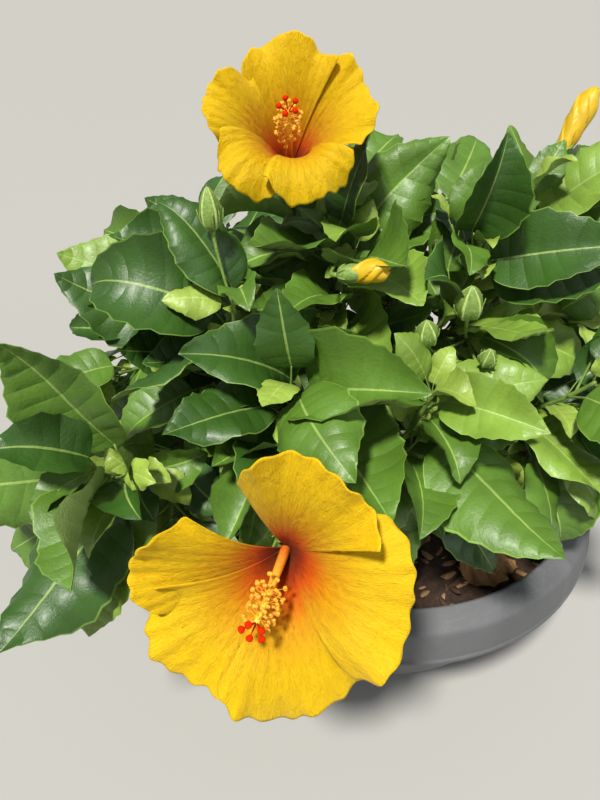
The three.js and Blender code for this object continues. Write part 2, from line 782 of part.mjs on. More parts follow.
function corollaGeometry(bloom, axes) {
  const { petalRows: rows, petalThickness, rowCrowding } = flower;
  const columns = flower.petals * flower.petalColumns;
  const middleLine = (column) => [...Array(rows + 1).keys()].map((row) => (
    corollaPoint(bloom, axes, (row / rows) ** rowCrowding, column)));
  const middle = [...Array(columns).keys()].map(middleLine);
  const normalAt = (column, row) => {
    const outwards = middle[column][row + 1].clone().sub(middle[column][Math.max(row - 1, 0)]);
    const next = middle[(column + 1) % columns][row];
    const around = next.clone().sub(middle[(column + columns - 1) % columns][row]);
    return outwards.cross(around).normalize();
  };
  const sectionAt = (column) => {
    const inner = [];
    const outer = [];
    for (let row = 0; row < rows; row++) {
      const normal = normalAt(column, row);
      inner.push(alongDirection(middle[column][row], normal, petalThickness / 2).toArray());
      outer.push(alongDirection(middle[column][row], normal, -petalThickness / 2).toArray());
    }
    return [...outer, middle[column][rows].toArray(), ...inner.reverse()];
  };
  return ringGeometry([...Array(columns).keys()].map(sectionAt));
}

function calyxSolid(limb, axis, foot, length) {
  const { calyxRadius, calyxShape, calyxSides, calyxSink } = flower;
  const sides = calyxShape.map(([radius, height]) => [radius * calyxRadius, height * length]);
  const cup = turned([[0, -calyxSink], ...sides, [0, length]], calyxSides);
  cup.applyQuaternion(new THREE.Quaternion().setFromUnitVectors(up, axis));
  cup.translate(...foot);
  const from = limb.bareShare + clearance / limb.length;
  const stalk = limbGeometry(limb, from, 1, flower.columnSides, flower.stalkSteps);
  return joined([solidOf(cup), solidOf(stalk)]);
}

function columnSolids(bloom, axes) {
  const { throat, axis } = axes;
  const start = alongDirection(throat, axis, -flower.columnSink);
  const end = throat.clone().add(vector(bloom.stigma));
  const bend = alongDirection(throat, axis, start.distanceTo(end) * 0.5);
  const radiusAt = (share) => THREE.MathUtils.lerp(flower.columnRadius, flower.columnTip, share);
  const column = limbAlong(start, bend, end, radiusAt);
  const { antherFrom, antherTo, antherCount, antherLength, antherRadius } = flower;
  const { columnSides, columnSteps } = flower;
  const solids = [solidOf(limbGeometry(column, 0, 1, columnSides, columnSteps))];
  for (let k = 0; k < antherCount; k++) {
    const share = THREE.MathUtils.lerp(antherFrom, antherTo, k / antherCount);
    const outwards = aroundDirection(column.curve.getTangent(share), k * goldenAngle);
    solids.push(needleSolid(column.curve.getPoint(share), outwards, antherLength, antherRadius));
  }
  const tipward = column.curve.getTangent(1);
  const stigmaFoot = column.curve.getPoint(flower.stigmaRoot);
  for (let k = 0; k < flower.petals; k++) {
    const outwards = aroundDirection(tipward, (k * fullTurn) / flower.petals);
    const heading = outwards.multiplyScalar(flower.stigmaSpread).add(tipward).normalize();
    solids.push(needleSolid(stigmaFoot, heading, flower.stigmaLength, flower.stigmaRadius));
  }
  return solids;
}

// A small three-sided spindle that stands out of its foot and is widest near its end
function needleSolid(foot, heading, length, radius) {
  const profile = [[0, -flower.needleSink], [radius, length * flower.needleWidest], [0, length]];
  const needle = turned(profile, flower.needleSides);
  needle.applyQuaternion(new THREE.Quaternion().setFromUnitVectors(up, heading));
  needle.translate(...foot);
  return solidOf(needle);
}

function flowerAxes(plan) {
  const axis = vector(plan.axis).normalize();
  const first = perpendicularTo(axis);
  const second = new THREE.Vector3().crossVectors(axis, first);
  return { throat: vector(plan.throat), axis, first, second };
}

function bloomSolid(bloom) {
  const axes = flowerAxes(bloom);
  const limb = limbs.get(bloom.name);
  const foot = alongDirection(axes.throat, axes.axis, -flower.stalkBelow);
  const calyx = calyxSolid(limb, axes.axis, foot, flower.stalkBelow + flower.calyxLap);
  const corolla = solidOf(corollaGeometry(bloom, axes));
  return largestPiece(joined([calyx, corolla, ...columnSolids(bloom, axes)]));
}

function closedBloomSolid(plan) {
  const { throat, axis } = flowerAxes(plan);
  const limb = limbs.get(plan.name);
  const foot = alongDirection(throat, axis, -flower.stalkBelow);
  const calyx = calyxSolid(limb, axis, foot, flower.stalkBelow);
  const sides = plan.shape.map(([radius, height]) => [radius * plan.petalRadius, height * plan.length]);
  const roll = turned([[0, -plan.sink], ...sides, [0, plan.length]], plan.sides);
  roll.applyQuaternion(new THREE.Quaternion().setFromUnitVectors(up, axis));
  roll.translate(...throat);
  return joined([calyx, solidOf(roll)]);
}

// Looks
const looks = {
  pot: { color: 0x7a7c7b, roughness: 0.55, metalness: 0 },
  soil: { color: 0x3b2a1d, roughness: 0.95, metalness: 0 },
  bark: { color: 0x5a4636, roughness: 0.85, metalness: 0 },
  leaf: { color: 0x4c8a2c, roughness: 0.45, metalness: 0 },
  petal: { color: 0xf5c52a, roughness: 0.6, metalness: 0 },
};

// Assembly
const plant = new THREE.Group();
plant.add(meshOf('pot', solidOf(turned(potProfile(), pot.segments)), looks.pot));
plant.add(meshOf('soil', solidOf(turned(soilProfile(), pot.segments)), looks.soil));

const grownLimbs = [];
for (const [name, limb] of limbs) {
  const isTrunk = name === 'trunk';
  const { sides, steps } = isTrunk ? trunk : bough;
  let solid = solidOf(limbGeometry(limb, 0, limb.bareShare, sides, steps));
  for (const earlier of grownLimbs) solid = solid.subtract(earlier);
  solid = largestPiece(solid);
  grownLimbs.push(solidOf(limbGeometry(limb, 0, limb.bareShare, sides, steps, clearance)));
  plant.add(meshOf(isTrunk ? 'trunk' : `bough_${name}`, solid, looks.bark));
}
const flowers = [
  ...blooms.map((bloom) => [bloom.name, bloomSolid(bloom)]),
  [closedBloom.name, closedBloomSolid(closedBloom)],
];
const crown = { blades: [], shoots: [], limbs: [] };
const neighbours = [...grownLimbs, ...flowers.map(([, solid]) => solid)];
for (const plan of branches) {
  const solid = massSolid(plan, crown, neighbours);
  neighbours.push(solid);
  plant.add(meshOf(`foliage_${plan.name}`, solid, looks.leaf));
}
for (const [name, solid] of flowers) plant.add(meshOf(name, solid, looks.petal));

export default plant;
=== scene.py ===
import json
import math
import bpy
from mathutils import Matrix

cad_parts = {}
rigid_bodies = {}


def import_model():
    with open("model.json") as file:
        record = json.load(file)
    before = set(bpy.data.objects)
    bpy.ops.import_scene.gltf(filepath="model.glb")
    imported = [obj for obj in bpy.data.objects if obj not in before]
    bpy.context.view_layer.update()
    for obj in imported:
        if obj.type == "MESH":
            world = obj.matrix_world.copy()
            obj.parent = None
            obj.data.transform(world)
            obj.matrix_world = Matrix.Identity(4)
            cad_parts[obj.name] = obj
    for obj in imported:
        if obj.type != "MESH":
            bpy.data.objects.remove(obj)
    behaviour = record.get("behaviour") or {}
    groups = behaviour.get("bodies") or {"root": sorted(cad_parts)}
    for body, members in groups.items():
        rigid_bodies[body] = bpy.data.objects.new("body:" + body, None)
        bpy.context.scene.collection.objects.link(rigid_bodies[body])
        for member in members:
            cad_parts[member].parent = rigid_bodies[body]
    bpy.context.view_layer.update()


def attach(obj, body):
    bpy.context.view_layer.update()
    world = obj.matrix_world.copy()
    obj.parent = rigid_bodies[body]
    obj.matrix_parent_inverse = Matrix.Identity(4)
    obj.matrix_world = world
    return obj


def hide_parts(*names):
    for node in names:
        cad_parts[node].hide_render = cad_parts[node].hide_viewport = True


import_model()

from types import SimpleNamespace as Group

import bpy
import numpy as np
from mathutils import Vector

# A yellow hibiscus shrub in a low round bowl planter.
# The plant grows by the rule of its solids, in millimetres, and is carried to finer twigs, leaves
# and petals. Meshes are made in metres, in the frame of the solids.

bl_info = {
    "name": "Hibiscus Shrub",
    "version": (1, 0, 0),
    "blender": (4, 5, 0),
    "location": "3D View > Sidebar > Hibiscus",
    "description": "Builds a potted yellow hibiscus shrub piece by piece",
    "category": "Add Mesh",
}

MM = 0.001
CLEARANCE = 0.3
GOLDEN_ANGLE = math.radians(137.5)
FULL_TURN = 2 * math.pi
UP = np.array([0.0, 0.0, 1.0])

# Sizes of the solids
POT = Group(height=180, lip_radius=225, crease_radius=219, opening_radius=197, base_radius=150,
            belly_radius=194, belly_height=30, neck_height=158, crease_drop=9, band_height=36,
            lip_height=4, lip_step=1.5, wall=4, floor=6, edge_round=2.5, foot_round=5,
            floor_round=10)
SOIL = Group(edge_height=150, dome=3)
TRUNK = Group(foot=(8, 6), fork=(-4, 2, 232), foot_radius=12, fork_radius=8.5, flare=7,
              flare_sharpness=5)
TWIG = Group(count=3, first_share=0.08, share_step=0.27, length=70, length_spread=18, angle=0.85,
             lift=0.55, base_share=0.8, least_base=0, tip_radius=1.6, turn_per_attempt=1,
             attempts=7, limb_gap=4, root_share=0.1, clear_share=0.3, bare_share=0.15,
             test_beads=8, beads=8)
LEAF = Group(length=104, length_spread=18, young_share=0.62, young_onset=3, width_share=0.33,
             widest_at=0.4, bluntness=0.85, spacing=15, first_share=0.08, last_share=0.97,
             petiole_length=27, petiole_radius=1.15, angle=1.0, angle_loss_with_age=0.35,
             sag=0.25, reach_out=0.4, light=(-0.1, -0.55, 1), light_out=0.3, roll=0.8, droop=0.7,
             droop_spread=0.5, least_droop=0, fold=0.28, attempts=18, turn_per_attempt=0.9,
             shrink_per_attempt=0.98, petiole_per_attempt=1.04, angle_per_attempt=0.25,
             test_rows=8, test_columns=6, petiole_tests=(0.4, 0.7, 1), leaf_gap=7, limb_gap=2.5)
SPACE = Group(heart_share=0.9, radius=165, overreach=35, pot_gap=4, lowest=122, beads=14)
BRANCH = Group(leafy_length=112, least_bare_share=0.22, tip_radius=2.1, follow=0.7)

# A branch: name, parent, share of the parent's length, tip, radius, seed
BRANCHES = [Group(name=name, parent=parent, at=at, tip=tip, radius=radius, seed=seed)
            for name, parent, at, tip, radius, seed in (
    ("top", "trunk", 1, (-96, 18, 436), 6.8, 80),
    ("left", "trunk", 0.8, (-238, -42, 352), 6.6, 60),
    ("front", "trunk", 0.7, (-118, -168, 322), 6.2, 95),
    ("right", "trunk", 0.9, (156, 34, 392), 6.4, 8),
    ("back", "trunk", 1, (34, 92, 416), 6.0, 58),
    ("centre", "top", 0.3, (-66, -66, 384), 4.8, 32),
    ("front_right", "front", 0.24, (2, -164, 300), 4.6, 11),
    ("right_front", "back", 0.26, (42, -88, 376), 4.8, 62),
    ("left_front", "left", 0.36, (-236, -192, 278), 4.8, 68),
    ("right_low", "right", 0.26, (112, -128, 288), 4.6, 62),
    ("right_middle", "right", 0.47, (158, -50, 312), 4.6, 105),
    ("left_middle", "left", 0.42, (-158, -112, 348), 4.6, 74),
    ("left_back", "top", 0.2, (-180, 8, 394), 4.8, 83),
    ("back_left", "back", 0.36, (-122, 116, 356), 4.8, 31),
    ("back_low", "back", 0.32, (26, 178, 318), 4.6, 35),
    ("back_right_low", "right", 0.4, (160, 116, 300), 4.6, 59),
)]
BUDS = {
    "left_back": ((34, 22, 6),),
    "right_front": ((26, 19, 5.4), (15, 12, 4), (20, 9, 3.2)),
    "left": ((18, 15, 4.6),),
}
BUD = Group(stalk_radius=1.3, spread=0.55, attempts=7, root_share=0.97, turn_per_bud=2,
            test_shares=(0.4, 1))


def petals(*rows):
    """Petals: direction and half breadth in degrees, size, flare, and how far the rim turns back."""
    return [Group(aim=aim, half=half, size=size, flare=flare, roll=roll)
            for aim, half, size, flare, roll in rows]


# The front flower's column keeps nearer to its axis than the solid's, and ends higher
FRONT_BLOOM = Group(name="bloom_front", parent="front", at=0.44, radius=4,
                    throat=(-99, -254, 322), axis=(-0.12, -0.88, 0.46), petal_radius=80, depth=50,
                    flare=3, stigma=(-14, -63, 17),
                    petals=petals((358, 34, 0.93, 2.3, -11), (44, 41, 0.99, 3.0, 0),
                                  (108, 43, 1.04, 3.2, 5), (177, 46, 0.98, 2.7, 1),
                                  (252, 41, 0.95, 2.1, -8)))
TOP_BLOOM = Group(name="bloom_top", parent="top", at=0.42, radius=3.8,
                  throat=(-98, -5, 482), axis=(0.0, -0.67, 0.74), petal_radius=60, depth=64,
                  flare=1.8, stigma=(0, -50, 53),
                  petals=petals((345, 41, 0.98, 1.9, -2), (53, 40, 1.0, 3.2, 9),
                                (111, 43, 1.0, 3.4, 10), (200, 47, 1.04, 1.8, -5),
                                (272, 43, 1.04, 1.7, -3)))
BLOOMS = (FRONT_BLOOM, TOP_BLOOM)
ROLLED_BLOOM = Group(name="bloom_closed", parent="right", at=0.34, radius=3.4,
                     throat=(154, 89, 474), axis=(0.43, 0.34, 0.84), length=58, petal_radius=11)
FLOWERS = (*BLOOMS, ROLLED_BLOOM)
FLOWER = Group(bare_share=0.68, stalk_below=27, petals=5, tube_radius=2.6, column_radius=2.4,
               column_tip=1.3, column_sink=4, calyx_radius=8.5, room_beside=10, room_behind=16,
               room_in_front=130, room_by_stalk=15, stalk_room_length=42)


# Vectors
def vector(values):
    return np.array(values, float)


def unit(values):
    lengths = np.linalg.norm(values, axis=-1, keepdims=True)
    return values / np.where(lengths > 0, lengths, 1.0)


def perpendicular(direction):
    helper = UP if abs(direction[2]) < 0.9 else vector((1, 0, 0))
    return unit(np.cross(direction, helper))


def around(direction, angle):
    first = perpendicular(direction)
    return first * math.cos(angle) + np.cross(direction, first) * math.sin(angle)


def mix(low, high, share):
    return low + (high - low) * share


def arc_between(start, bend, end, t):
    """The point at a share of the curve that leaves its start towards its bend."""
    return (1 - t) ** 2 * start + 2 * (1 - t) * t * bend + t * t * end


class Draws:
    """Random numbers from a linear congruence, the same ones as the solids draw."""

    def __init__(self, seed):
        self.state = seed & 0xFFFFFFFF

    def __call__(self):
        self.state = (self.state * 1664525 + 1013904223) & 0xFFFFFFFF
        return self.state / 2**32

    def swing(self):
        return self() * 2 - 1


class Limb:
    """A tapering limb along a curve that bends once."""

    def __init__(self, start, bend, end, radius_at, bare_share=1.0):
        self.start, self.bend, self.end = vector(start), vector(bend), vector(end)
        turn = np.cross(self.bend - self.start, self.end - self.bend)
        chord = unit(self.end - self.start)
        bends = np.linalg.norm(turn) > 1e-3
        self.sideways = unit(turn) if bends else perpendicular(chord)
        self.radius_at = radius_at
        self.bare_share = bare_share
        corners = self.point(np.linspace(0, 1, 201))
        self.length = float(np.linalg.norm(np.diff(corners, axis=0), axis=1).sum())

    def point(self, share):
        t = np.asarray(share, float)[..., None]
        return arc_between(self.start, self.bend, self.end, t)

    def tangent(self, share):
        t = np.asarray(share, float)
        return unit(self.point(np.minimum(t + 1e-4, 1)) - self.point(np.maximum(t - 1e-4, 0)))

    def segments(self, first, last, steps):
        """The stretch between two shares as straight pieces: start, step and radius of each."""
        shares = first + (last - first) * np.arange(steps + 1) / steps
        centres = self.point(shares)
        return segments_between(centres, np.array([self.radius_at(t) for t in shares]))


def segments_between(centres, radii):
    steps = np.diff(centres, axis=0)
    return np.hstack([centres[:-1], steps, radii[:-1, None]])


def linear(first, last):
    return lambda share: mix(first, last, share)


def trunk_limb():
    ground = SOIL.edge_height + SOIL.dome + CLEARANCE
    foot = (*TRUNK.foot, ground)
    bend = (*TRUNK.foot, (ground + TRUNK.fork[2]) / 2)

    def radius_at(share):
        taper = mix(TRUNK.foot_radius, TRUNK.fork_radius, share)
        return taper + TRUNK.flare * math.exp(-TRUNK.flare_sharpness * share)

    return Limb(foot, bend, TRUNK.fork, radius_at)


def branch_limb(parent, plan):
    start, end = parent.point(plan.at), vector(plan.tip)
    reach = np.linalg.norm(end - start)
    departure = unit(parent.tangent(plan.at) * BRANCH.follow + unit(end - start))
    bend = start + departure * reach / 2
    limb = Limb(start, bend, end, linear(plan.radius, BRANCH.tip_radius))
    limb.bare_share = max(1 - BRANCH.leafy_length / limb.length, BRANCH.least_bare_share)
    return limb


def flower_limb(parent, plan):
    start, axis = parent.point(plan.at), unit(vector(plan.axis))
    end = vector(plan.throat) - axis * FLOWER.stalk_below
    bend = end - axis * np.linalg.norm(start - end) / 2
    return Limb(start, bend, end, linear(plan.radius, BRANCH.tip_radius), FLOWER.bare_share)


LIMBS = {"trunk": trunk_limb()}
for each in BRANCHES:
    LIMBS[each.name] = branch_limb(LIMBS[each.parent], each)
for each in FLOWERS:
    LIMBS[each.name] = flower_limb(LIMBS[each.parent], each)

HEARTS = {plan.name: LIMBS[plan.name].point(SPACE.heart_share) for plan in BRANCHES}
CROWN_CENTRE = sum(HEARTS.values()) / len(HEARTS)


# The space of a mass, and what it keeps clear of. Each test says which of some points pass it.
def in_own_space(name, points):
    heart = HEARTS[name]
    passed = np.linalg.norm(points - heart, axis=1) <= SPACE.radius
    for other, other_heart in HEARTS.items():
        if other != name:
            apart = unit(other_heart - heart)
            passed &= (points - (heart + other_heart) / 2) @ apart <= SPACE.overreach
    return passed


def clear_of_pot(points):
    radius = np.hypot(points[:, 0], points[:, 1])
    above = points[:, 2] > POT.height + SPACE.pot_gap
    return above | ((radius > POT.lip_radius + SPACE.pot_gap) & (points[:, 2] > SPACE.lowest))


def clear_of_blooms(points):
    passed = np.ones(len(points), bool)
    for bloom in BLOOMS:
        axis = unit(vector(bloom.axis))
        offset = points - vector(bloom.throat)
        height = offset @ axis
        radius = np.linalg.norm(offset - height[:, None] * axis, axis=1)
        share = np.minimum(radius / bloom.petal_radius, 1)
        funnel = bloom.depth * (1 - (1 - share) ** bloom.flare)
        beside = radius > bloom.petal_radius + FLOWER.room_beside
        by_stalk = ((height < 0) & (height >= -FLOWER.stalk_room_length)
                    & (radius <= FLOWER.room_by_stalk))
        behind = (height < funnel - FLOWER.room_behind) & ~by_stalk
        passed &= beside | behind | (height >= FLOWER.room_in_front)
    return passed


def gap_to_segments(points, segments):
    start, step, radius = segments[:, :3], segments[:, 3:6], segments[:, 6]
    offset = points[:, None] - start
    share = (offset * step).sum(2) / (step * step).sum(1)
    offset -= np.clip(share, 0, 1)[..., None] * step
    return (np.linalg.norm(offset, axis=2) - radius).min(1)


class Crown:
    """What has grown so far: leaf blades as points, and shoots as straight pieces."""

    def __init__(self):
        self.clouds, self.centres, self.reaches = [], [], []
        self.shoots, self.limbs = [], []

    def add_blade(self, cloud):
        self.clouds.append(cloud.points)
        self.centres.append(cloud.centre)
        self.reaches.append(cloud.reach)

    def crowded(self, points, gap):
        if not self.clouds:
            return False
        centre = points.mean(0)
        reach = np.linalg.norm(points - centre, axis=1).max()
        apart = np.linalg.norm(np.array(self.centres) - centre, axis=1)
        near = np.flatnonzero(apart <= np.array(self.reaches) + reach + gap)
        if not len(near):
            return False
        others = np.concatenate([self.clouds[i] for i in near])
        square = ((points[:, None] - others) ** 2).sum(2).min()
        return square < gap * gap

    def is_free(self, name, points, limb_gap, leaf_gap):
        return (in_own_space(name, points).all() and clear_of_pot(points).all()
                and clear_of_blooms(points).all() and not self.crowded(points, leaf_gap)
                and bool((gap_to_segments(points, np.concatenate(self.limbs)) > limb_gap).all()))


def obstacles_of(name):
    obstacles = [limb.segments(0, limb.bare_share if other == name else 1, SPACE.beads)
                 for other, limb in LIMBS.items()]
    throat = vector(ROLLED_BLOOM.throat)
    tip = throat + unit(vector(ROLLED_BLOOM.axis)) * ROLLED_BLOOM.length
    radii = np.full(2, float(ROLLED_BLOOM.petal_radius))
    return [*obstacles, segments_between(np.array([throat, tip]), radii)]


# Leaves: an ovate blade on a petiole, folded along its midrib and arched down to its tip
def leaf_outline(share):
    skew = math.log(0.5) / math.log(LEAF.widest_at)
    return np.maximum(np.sin(math.pi * share**skew), 0) ** LEAF.bluntness


class Leaf:
    """A leaf on a shoot: its petiole's root and base, and the directions of its blade."""

    def __init__(self, shoot, share, azimuth, plan):
        self.plan, self.shoot = plan, shoot
        self.root = shoot.point(share)
        stemward = shoot.tangent(share)
        outward = unit((self.root - CROWN_CENTRE) * (1, 1, 0))
        sideways = around(stemward, azimuth)
        self.rise = unit(stemward * math.cos(plan.angle) + sideways * math.sin(plan.angle))
        self.heading = unit(self.rise + outward * LEAF.reach_out - UP * LEAF.sag)
        stalk = LEAF.petiole_length * (plan.length / LEAF.length) * plan.stretch
        self.base = self.root + self.rise * stalk
        light = vector(LEAF.light) + outward * LEAF.light_out
        facing = unit(light - self.heading * (light @ self.heading))
        beside = np.cross(self.heading, facing)
        self.facing = facing * math.cos(plan.roll) + beside * math.sin(plan.roll)
        self.across = np.cross(self.facing, self.heading)

    def surface(self, u, v):
        """Points and normals of the blade at shares u of its length and v of its half width."""
        length, droop = self.plan.length, self.plan.droop
        bend = (droop * u)[:, None]
        normal = self.facing * np.cos(bend) + self.heading * np.sin(bend)
        half = (length * LEAF.width_share * leaf_outline(u))[:, None]
        points = (self.base + self.heading * (length * np.sin(bend) / droop)
                  - self.facing * (length * (1 - np.cos(bend)) / droop)
                  + self.across * (v[:, None] * half * math.cos(LEAF.fold))
                  + normal * (np.abs(v)[:, None] * half * math.sin(LEAF.fold)))
        return points, normal

    def cloud(self, rows, columns):
        """The blade as points for the distance tests."""
        u, v = np.meshgrid(np.arange(1, rows + 1) / rows,
                           2 * np.arange(columns + 1) / columns - 1, indexing="ij")
        points, _ = self.surface(u.ravel(), v.ravel())
        centre = self.surface(np.array([0.5]), np.array([0.0]))[0][0]
        reach = np.linalg.norm(points - centre, axis=1).max()
        return Group(points=points, centre=centre, reach=reach)

    def petiole_tests(self):
        return np.array([mix(self.root, self.base, t) for t in LEAF.petiole_tests])


def side_shoot(parent, share, azimuth, length, base_radius, tip_radius):
    """A shoot that leaves its parent sideways and turns upwards."""
    start, along = parent.point(share), parent.tangent(share)
    sideways = around(along, azimuth)
    heading = unit(along * math.cos(TWIG.angle) + sideways * math.sin(TWIG.angle))
    bend = start + heading * length / 2
    rising = unit(heading + UP * TWIG.lift)
    return Limb(start, bend, bend + rising * length / 2, linear(base_radius, tip_radius))


def bud_of(start, heading, stalk, length, radius):
    return Group(start=start, heading=heading, stalk=stalk, length=length, radius=radius)


class Growth:
    """What grows from one stem by a rule, in its own space and clear of all that grew before."""

    def __init__(self, name, seed, rule, crown):
        self.name, self.draws, self.rule, self.crown = name, Draws(seed), rule, crown
        self.stem = LIMBS[name]
        self.first = self.stem.bare_share + CLEARANCE / self.stem.length
        self.shoots, self.buds, self.leaves = [], [], []
        crown.limbs = [*crown.shoots, *obstacles_of(name),
                       self.stem.segments(self.first, 1, SPACE.beads)]
        self.known = len(crown.limbs)

    def is_free(self, points, limb_gap):
        return self.crown.is_free(self.name, points, limb_gap, self.rule.leaf_gap)

    def add_shoot(self, parent, first, k, plan):
        """The plan's side shoot number k, if there is room for it, and its planned length."""
        share = mix(first, 1, plan.first_share + plan.share_step * k)
        azimuth = self.draws() * FULL_TURN
        length = plan.length + plan.length_spread * self.draws.swing()
        base_radius = max(parent.radius_at(share) * plan.base_share, plan.least_base)
        tests = mix(plan.clear_share, 1, np.arange(plan.test_beads + 1) / plan.test_beads)
        for attempt in range(plan.attempts):
            turn = azimuth + plan.turn_per_attempt * attempt
            shoot = side_shoot(parent, share, turn, length, base_radius, plan.tip_radius)
            if self.is_free(shoot.point(tests), plan.limb_gap):
                self.shoots.append(shoot)
                self.crown.limbs.append(shoot.segments(plan.root_share, 1, plan.beads))
                return shoot, length
        return None, length

    def add_bud(self, k, stalk, length, radius):
        shoots = [self.stem, *self.shoots]
        shoot = shoots[k % len(shoots)]
        start, along = shoot.point(BUD.root_share), shoot.tangent(1)
        for attempt in range(BUD.attempts):
            heading = unit(along + around(along, BUD.turn_per_bud * k + attempt) * BUD.spread)
            ends = start + np.outer(BUD.test_shares, heading) * (stalk + length)
            if self.is_free(ends, radius):
                self.buds.append(bud_of(start, heading, stalk, length, radius))
                self.crown.limbs.append(segments_between(ends, np.full(2, float(radius))))
                return

    def add_leaf(self, shoot, share, azimuth, length, angle, age):
        """One leaf, turned and made smaller until there is room for it."""
        rule = self.rule
        roll, droop = self.draws.swing(), self.draws.swing()
        for attempt in range(rule.attempts):
            plan = Group(length=length * rule.shrink_per_attempt**attempt,
                         stretch=LEAF.petiole_per_attempt**attempt,
                         roll=LEAF.roll * roll * abs(roll),
                         droop=max(LEAF.droop + LEAF.droop_spread * droop, rule.least_droop),
                         angle=angle + LEAF.angle_per_attempt * (attempt % 3 - 1), age=age)
            leaf = Leaf(shoot, share, azimuth + rule.turn_per_attempt * attempt, plan)
            cloud = leaf.cloud(rule.test_rows, rule.test_columns)
            if (self.is_free(cloud.points, rule.limb_gap)
                    and not self.crown.crowded(leaf.petiole_tests(), rule.leaf_gap)):
                self.leaves.append(leaf)
                self.crown.add_blade(cloud)
                return

    def add_leaves(self, shoot, first):
        """Leaves along a shoot, each a golden angle on from the last, and smaller to its tip."""
        leafy_length = shoot.length * (1 - first)
        count = math.floor(leafy_length * (1 - LEAF.first_share) / LEAF.spacing + 0.5)
        azimuth = self.draws() * FULL_TURN
        for k in range(count + 1):
            age = mix(LEAF.first_share, 1, k / count)
            azimuth += GOLDEN_ANGLE
            length = LEAF.length + LEAF.length_spread * self.draws.swing()
            young = mix(1, LEAF.young_share, age**LEAF.young_onset)
            angle = LEAF.angle * (1 - LEAF.angle_loss_with_age * age)
            self.add_leaf(shoot, mix(first, LEAF.last_share, age), azimuth, length * young, angle,
                          age)

    def add_leaves_between(self, shoot, first):
        """Smaller leaves between those that are there."""
        azimuth = self.draws() * FULL_TURN
        count = max(round(shoot.length * (1 - first) / BETWEEN.spacing), 1)
        for k in range(count):
            age = (k + 0.5) / count
            azimuth += GOLDEN_ANGLE
            size = BETWEEN.size + BETWEEN.size_spread * self.draws.swing()
            self.add_leaf(shoot, mix(first, LEAF.last_share, age), azimuth, LEAF.length * size,
                          LEAF.angle, age * BETWEEN.oldest)

    def add_tip_leaves(self, shoot):
        """Young leaves close about a shoot's tip."""
        for k in range(TIP_LEAF.count):
            left = TIP_LEAF.count - k
            size = TIP_LEAF.size + TIP_LEAF.size_step * left
            self.add_leaf(shoot, 1 - TIP_LEAF.spacing * left, k * GOLDEN_ANGLE,
                          LEAF.length * size, TIP_LEAF.angle, 1)

    def add_sprig(self, parent, first, k):
        """A short side shoot with small leaves."""
        sprig, length = self.add_shoot(parent, first, k, SPRIG)
        if sprig is None:
            return
        count = max(round(length / SPRIG.leaf_spacing), 1) + 1
        for j in range(count):
            age = (j + 0.5) / count
            size = (SPRIG.leaf_size * mix(*SPRIG.leaf_sizes, age)
                    + SPRIG.leaf_size_spread * self.draws.swing())
            self.add_leaf(sprig, mix(*SPRIG.leaf_shares, age), j * GOLDEN_ANGLE,
                          LEAF.length * size, mix(*SPRIG.leaf_angles, age), age)


def grow_mass(plan, crown):
    """A stem's twigs, buds and leaves, by the rule of the solids."""
    growth = Growth(plan.name, plan.seed, LEAF, crown)
    for k in range(TWIG.count):
        growth.add_shoot(growth.stem, growth.first, k, TWIG)
    for k, bud in enumerate(BUDS.get(plan.name, ())):
        growth.add_bud(k, *bud)
    shoots = [(growth.stem, growth.first), *((twig, TWIG.bare_share) for twig in growth.shoots)]
    for shoot, first in shoots:
        growth.add_leaves(shoot, first)
    crown.shoots += crown.limbs[growth.known:]
    return Group(name=plan.name, stem=growth.stem, first=growth.first, twigs=growth.shoots,
                 shoots=shoots, buds=growth.buds, leaves=growth.leaves)


# Finer growth, within the same reach: young leaves about each shoot's tip, leaves between the
# grown ones, and sprigs on the shoots
FINER = Group(seed_step=1000, rows=12, columns=8, test_rows=6, test_columns=4, leaf_gap=4.2,
              limb_gap=1.4, attempts=9, turn_per_attempt=0.8, shrink_per_attempt=0.94,
              least_droop=0.25)
BETWEEN = Group(spacing=17, size=0.66, size_spread=0.16, oldest=0.8)
TIP_LEAF = Group(count=5, size=0.2, size_step=0.055, spacing=0.012, angle=0.42)
SPRIG = Group(count=2, first_share=0.3, share_step=0.42, length=34, length_spread=8,
              base_share=0.7, least_base=1.1, tip_radius=0.95, turn_per_attempt=1, attempts=5,
              limb_gap=2.2, root_share=0.15, clear_share=0.35, test_beads=5, beads=4,
              leaf_spacing=11, leaf_size=0.5, leaf_sizes=(1.1, 0.6), leaf_size_spread=0.06,
              leaf_shares=(0.25, 0.98), leaf_angles=(0.95, 0.45))


def refine_mass(mass, seed, crown):
    growth = Growth(mass.name, seed + FINER.seed_step, FINER, crown)
    for shoot, _ in mass.shoots:
        growth.add_tip_leaves(shoot)
    for shoot, first in mass.shoots:
        growth.add_leaves_between(shoot, first)
    for shoot, first in mass.shoots:
        for k in range(SPRIG.count):
            growth.add_sprig(shoot, first, k)
    crown.shoots += crown.limbs[growth.known:]
    mass.sprigs, mass.finer = growth.shoots, growth.leaves


def grow_crown():
    """Every mass grown by the rule of the solids, and then its finer growth."""
    crown = Crown()
    masses = [grow_mass(plan, crown) for plan in BRANCHES]
    crown.clouds, crown.centres, crown.reaches = [], [], []
    for mass in masses:
        for leaf in mass.leaves:
            crown.add_blade(leaf.cloud(FINER.rows, FINER.columns))
    for mass, plan in zip(masses, BRANCHES):
        refine_mass(mass, plan.seed, crown)
    return masses


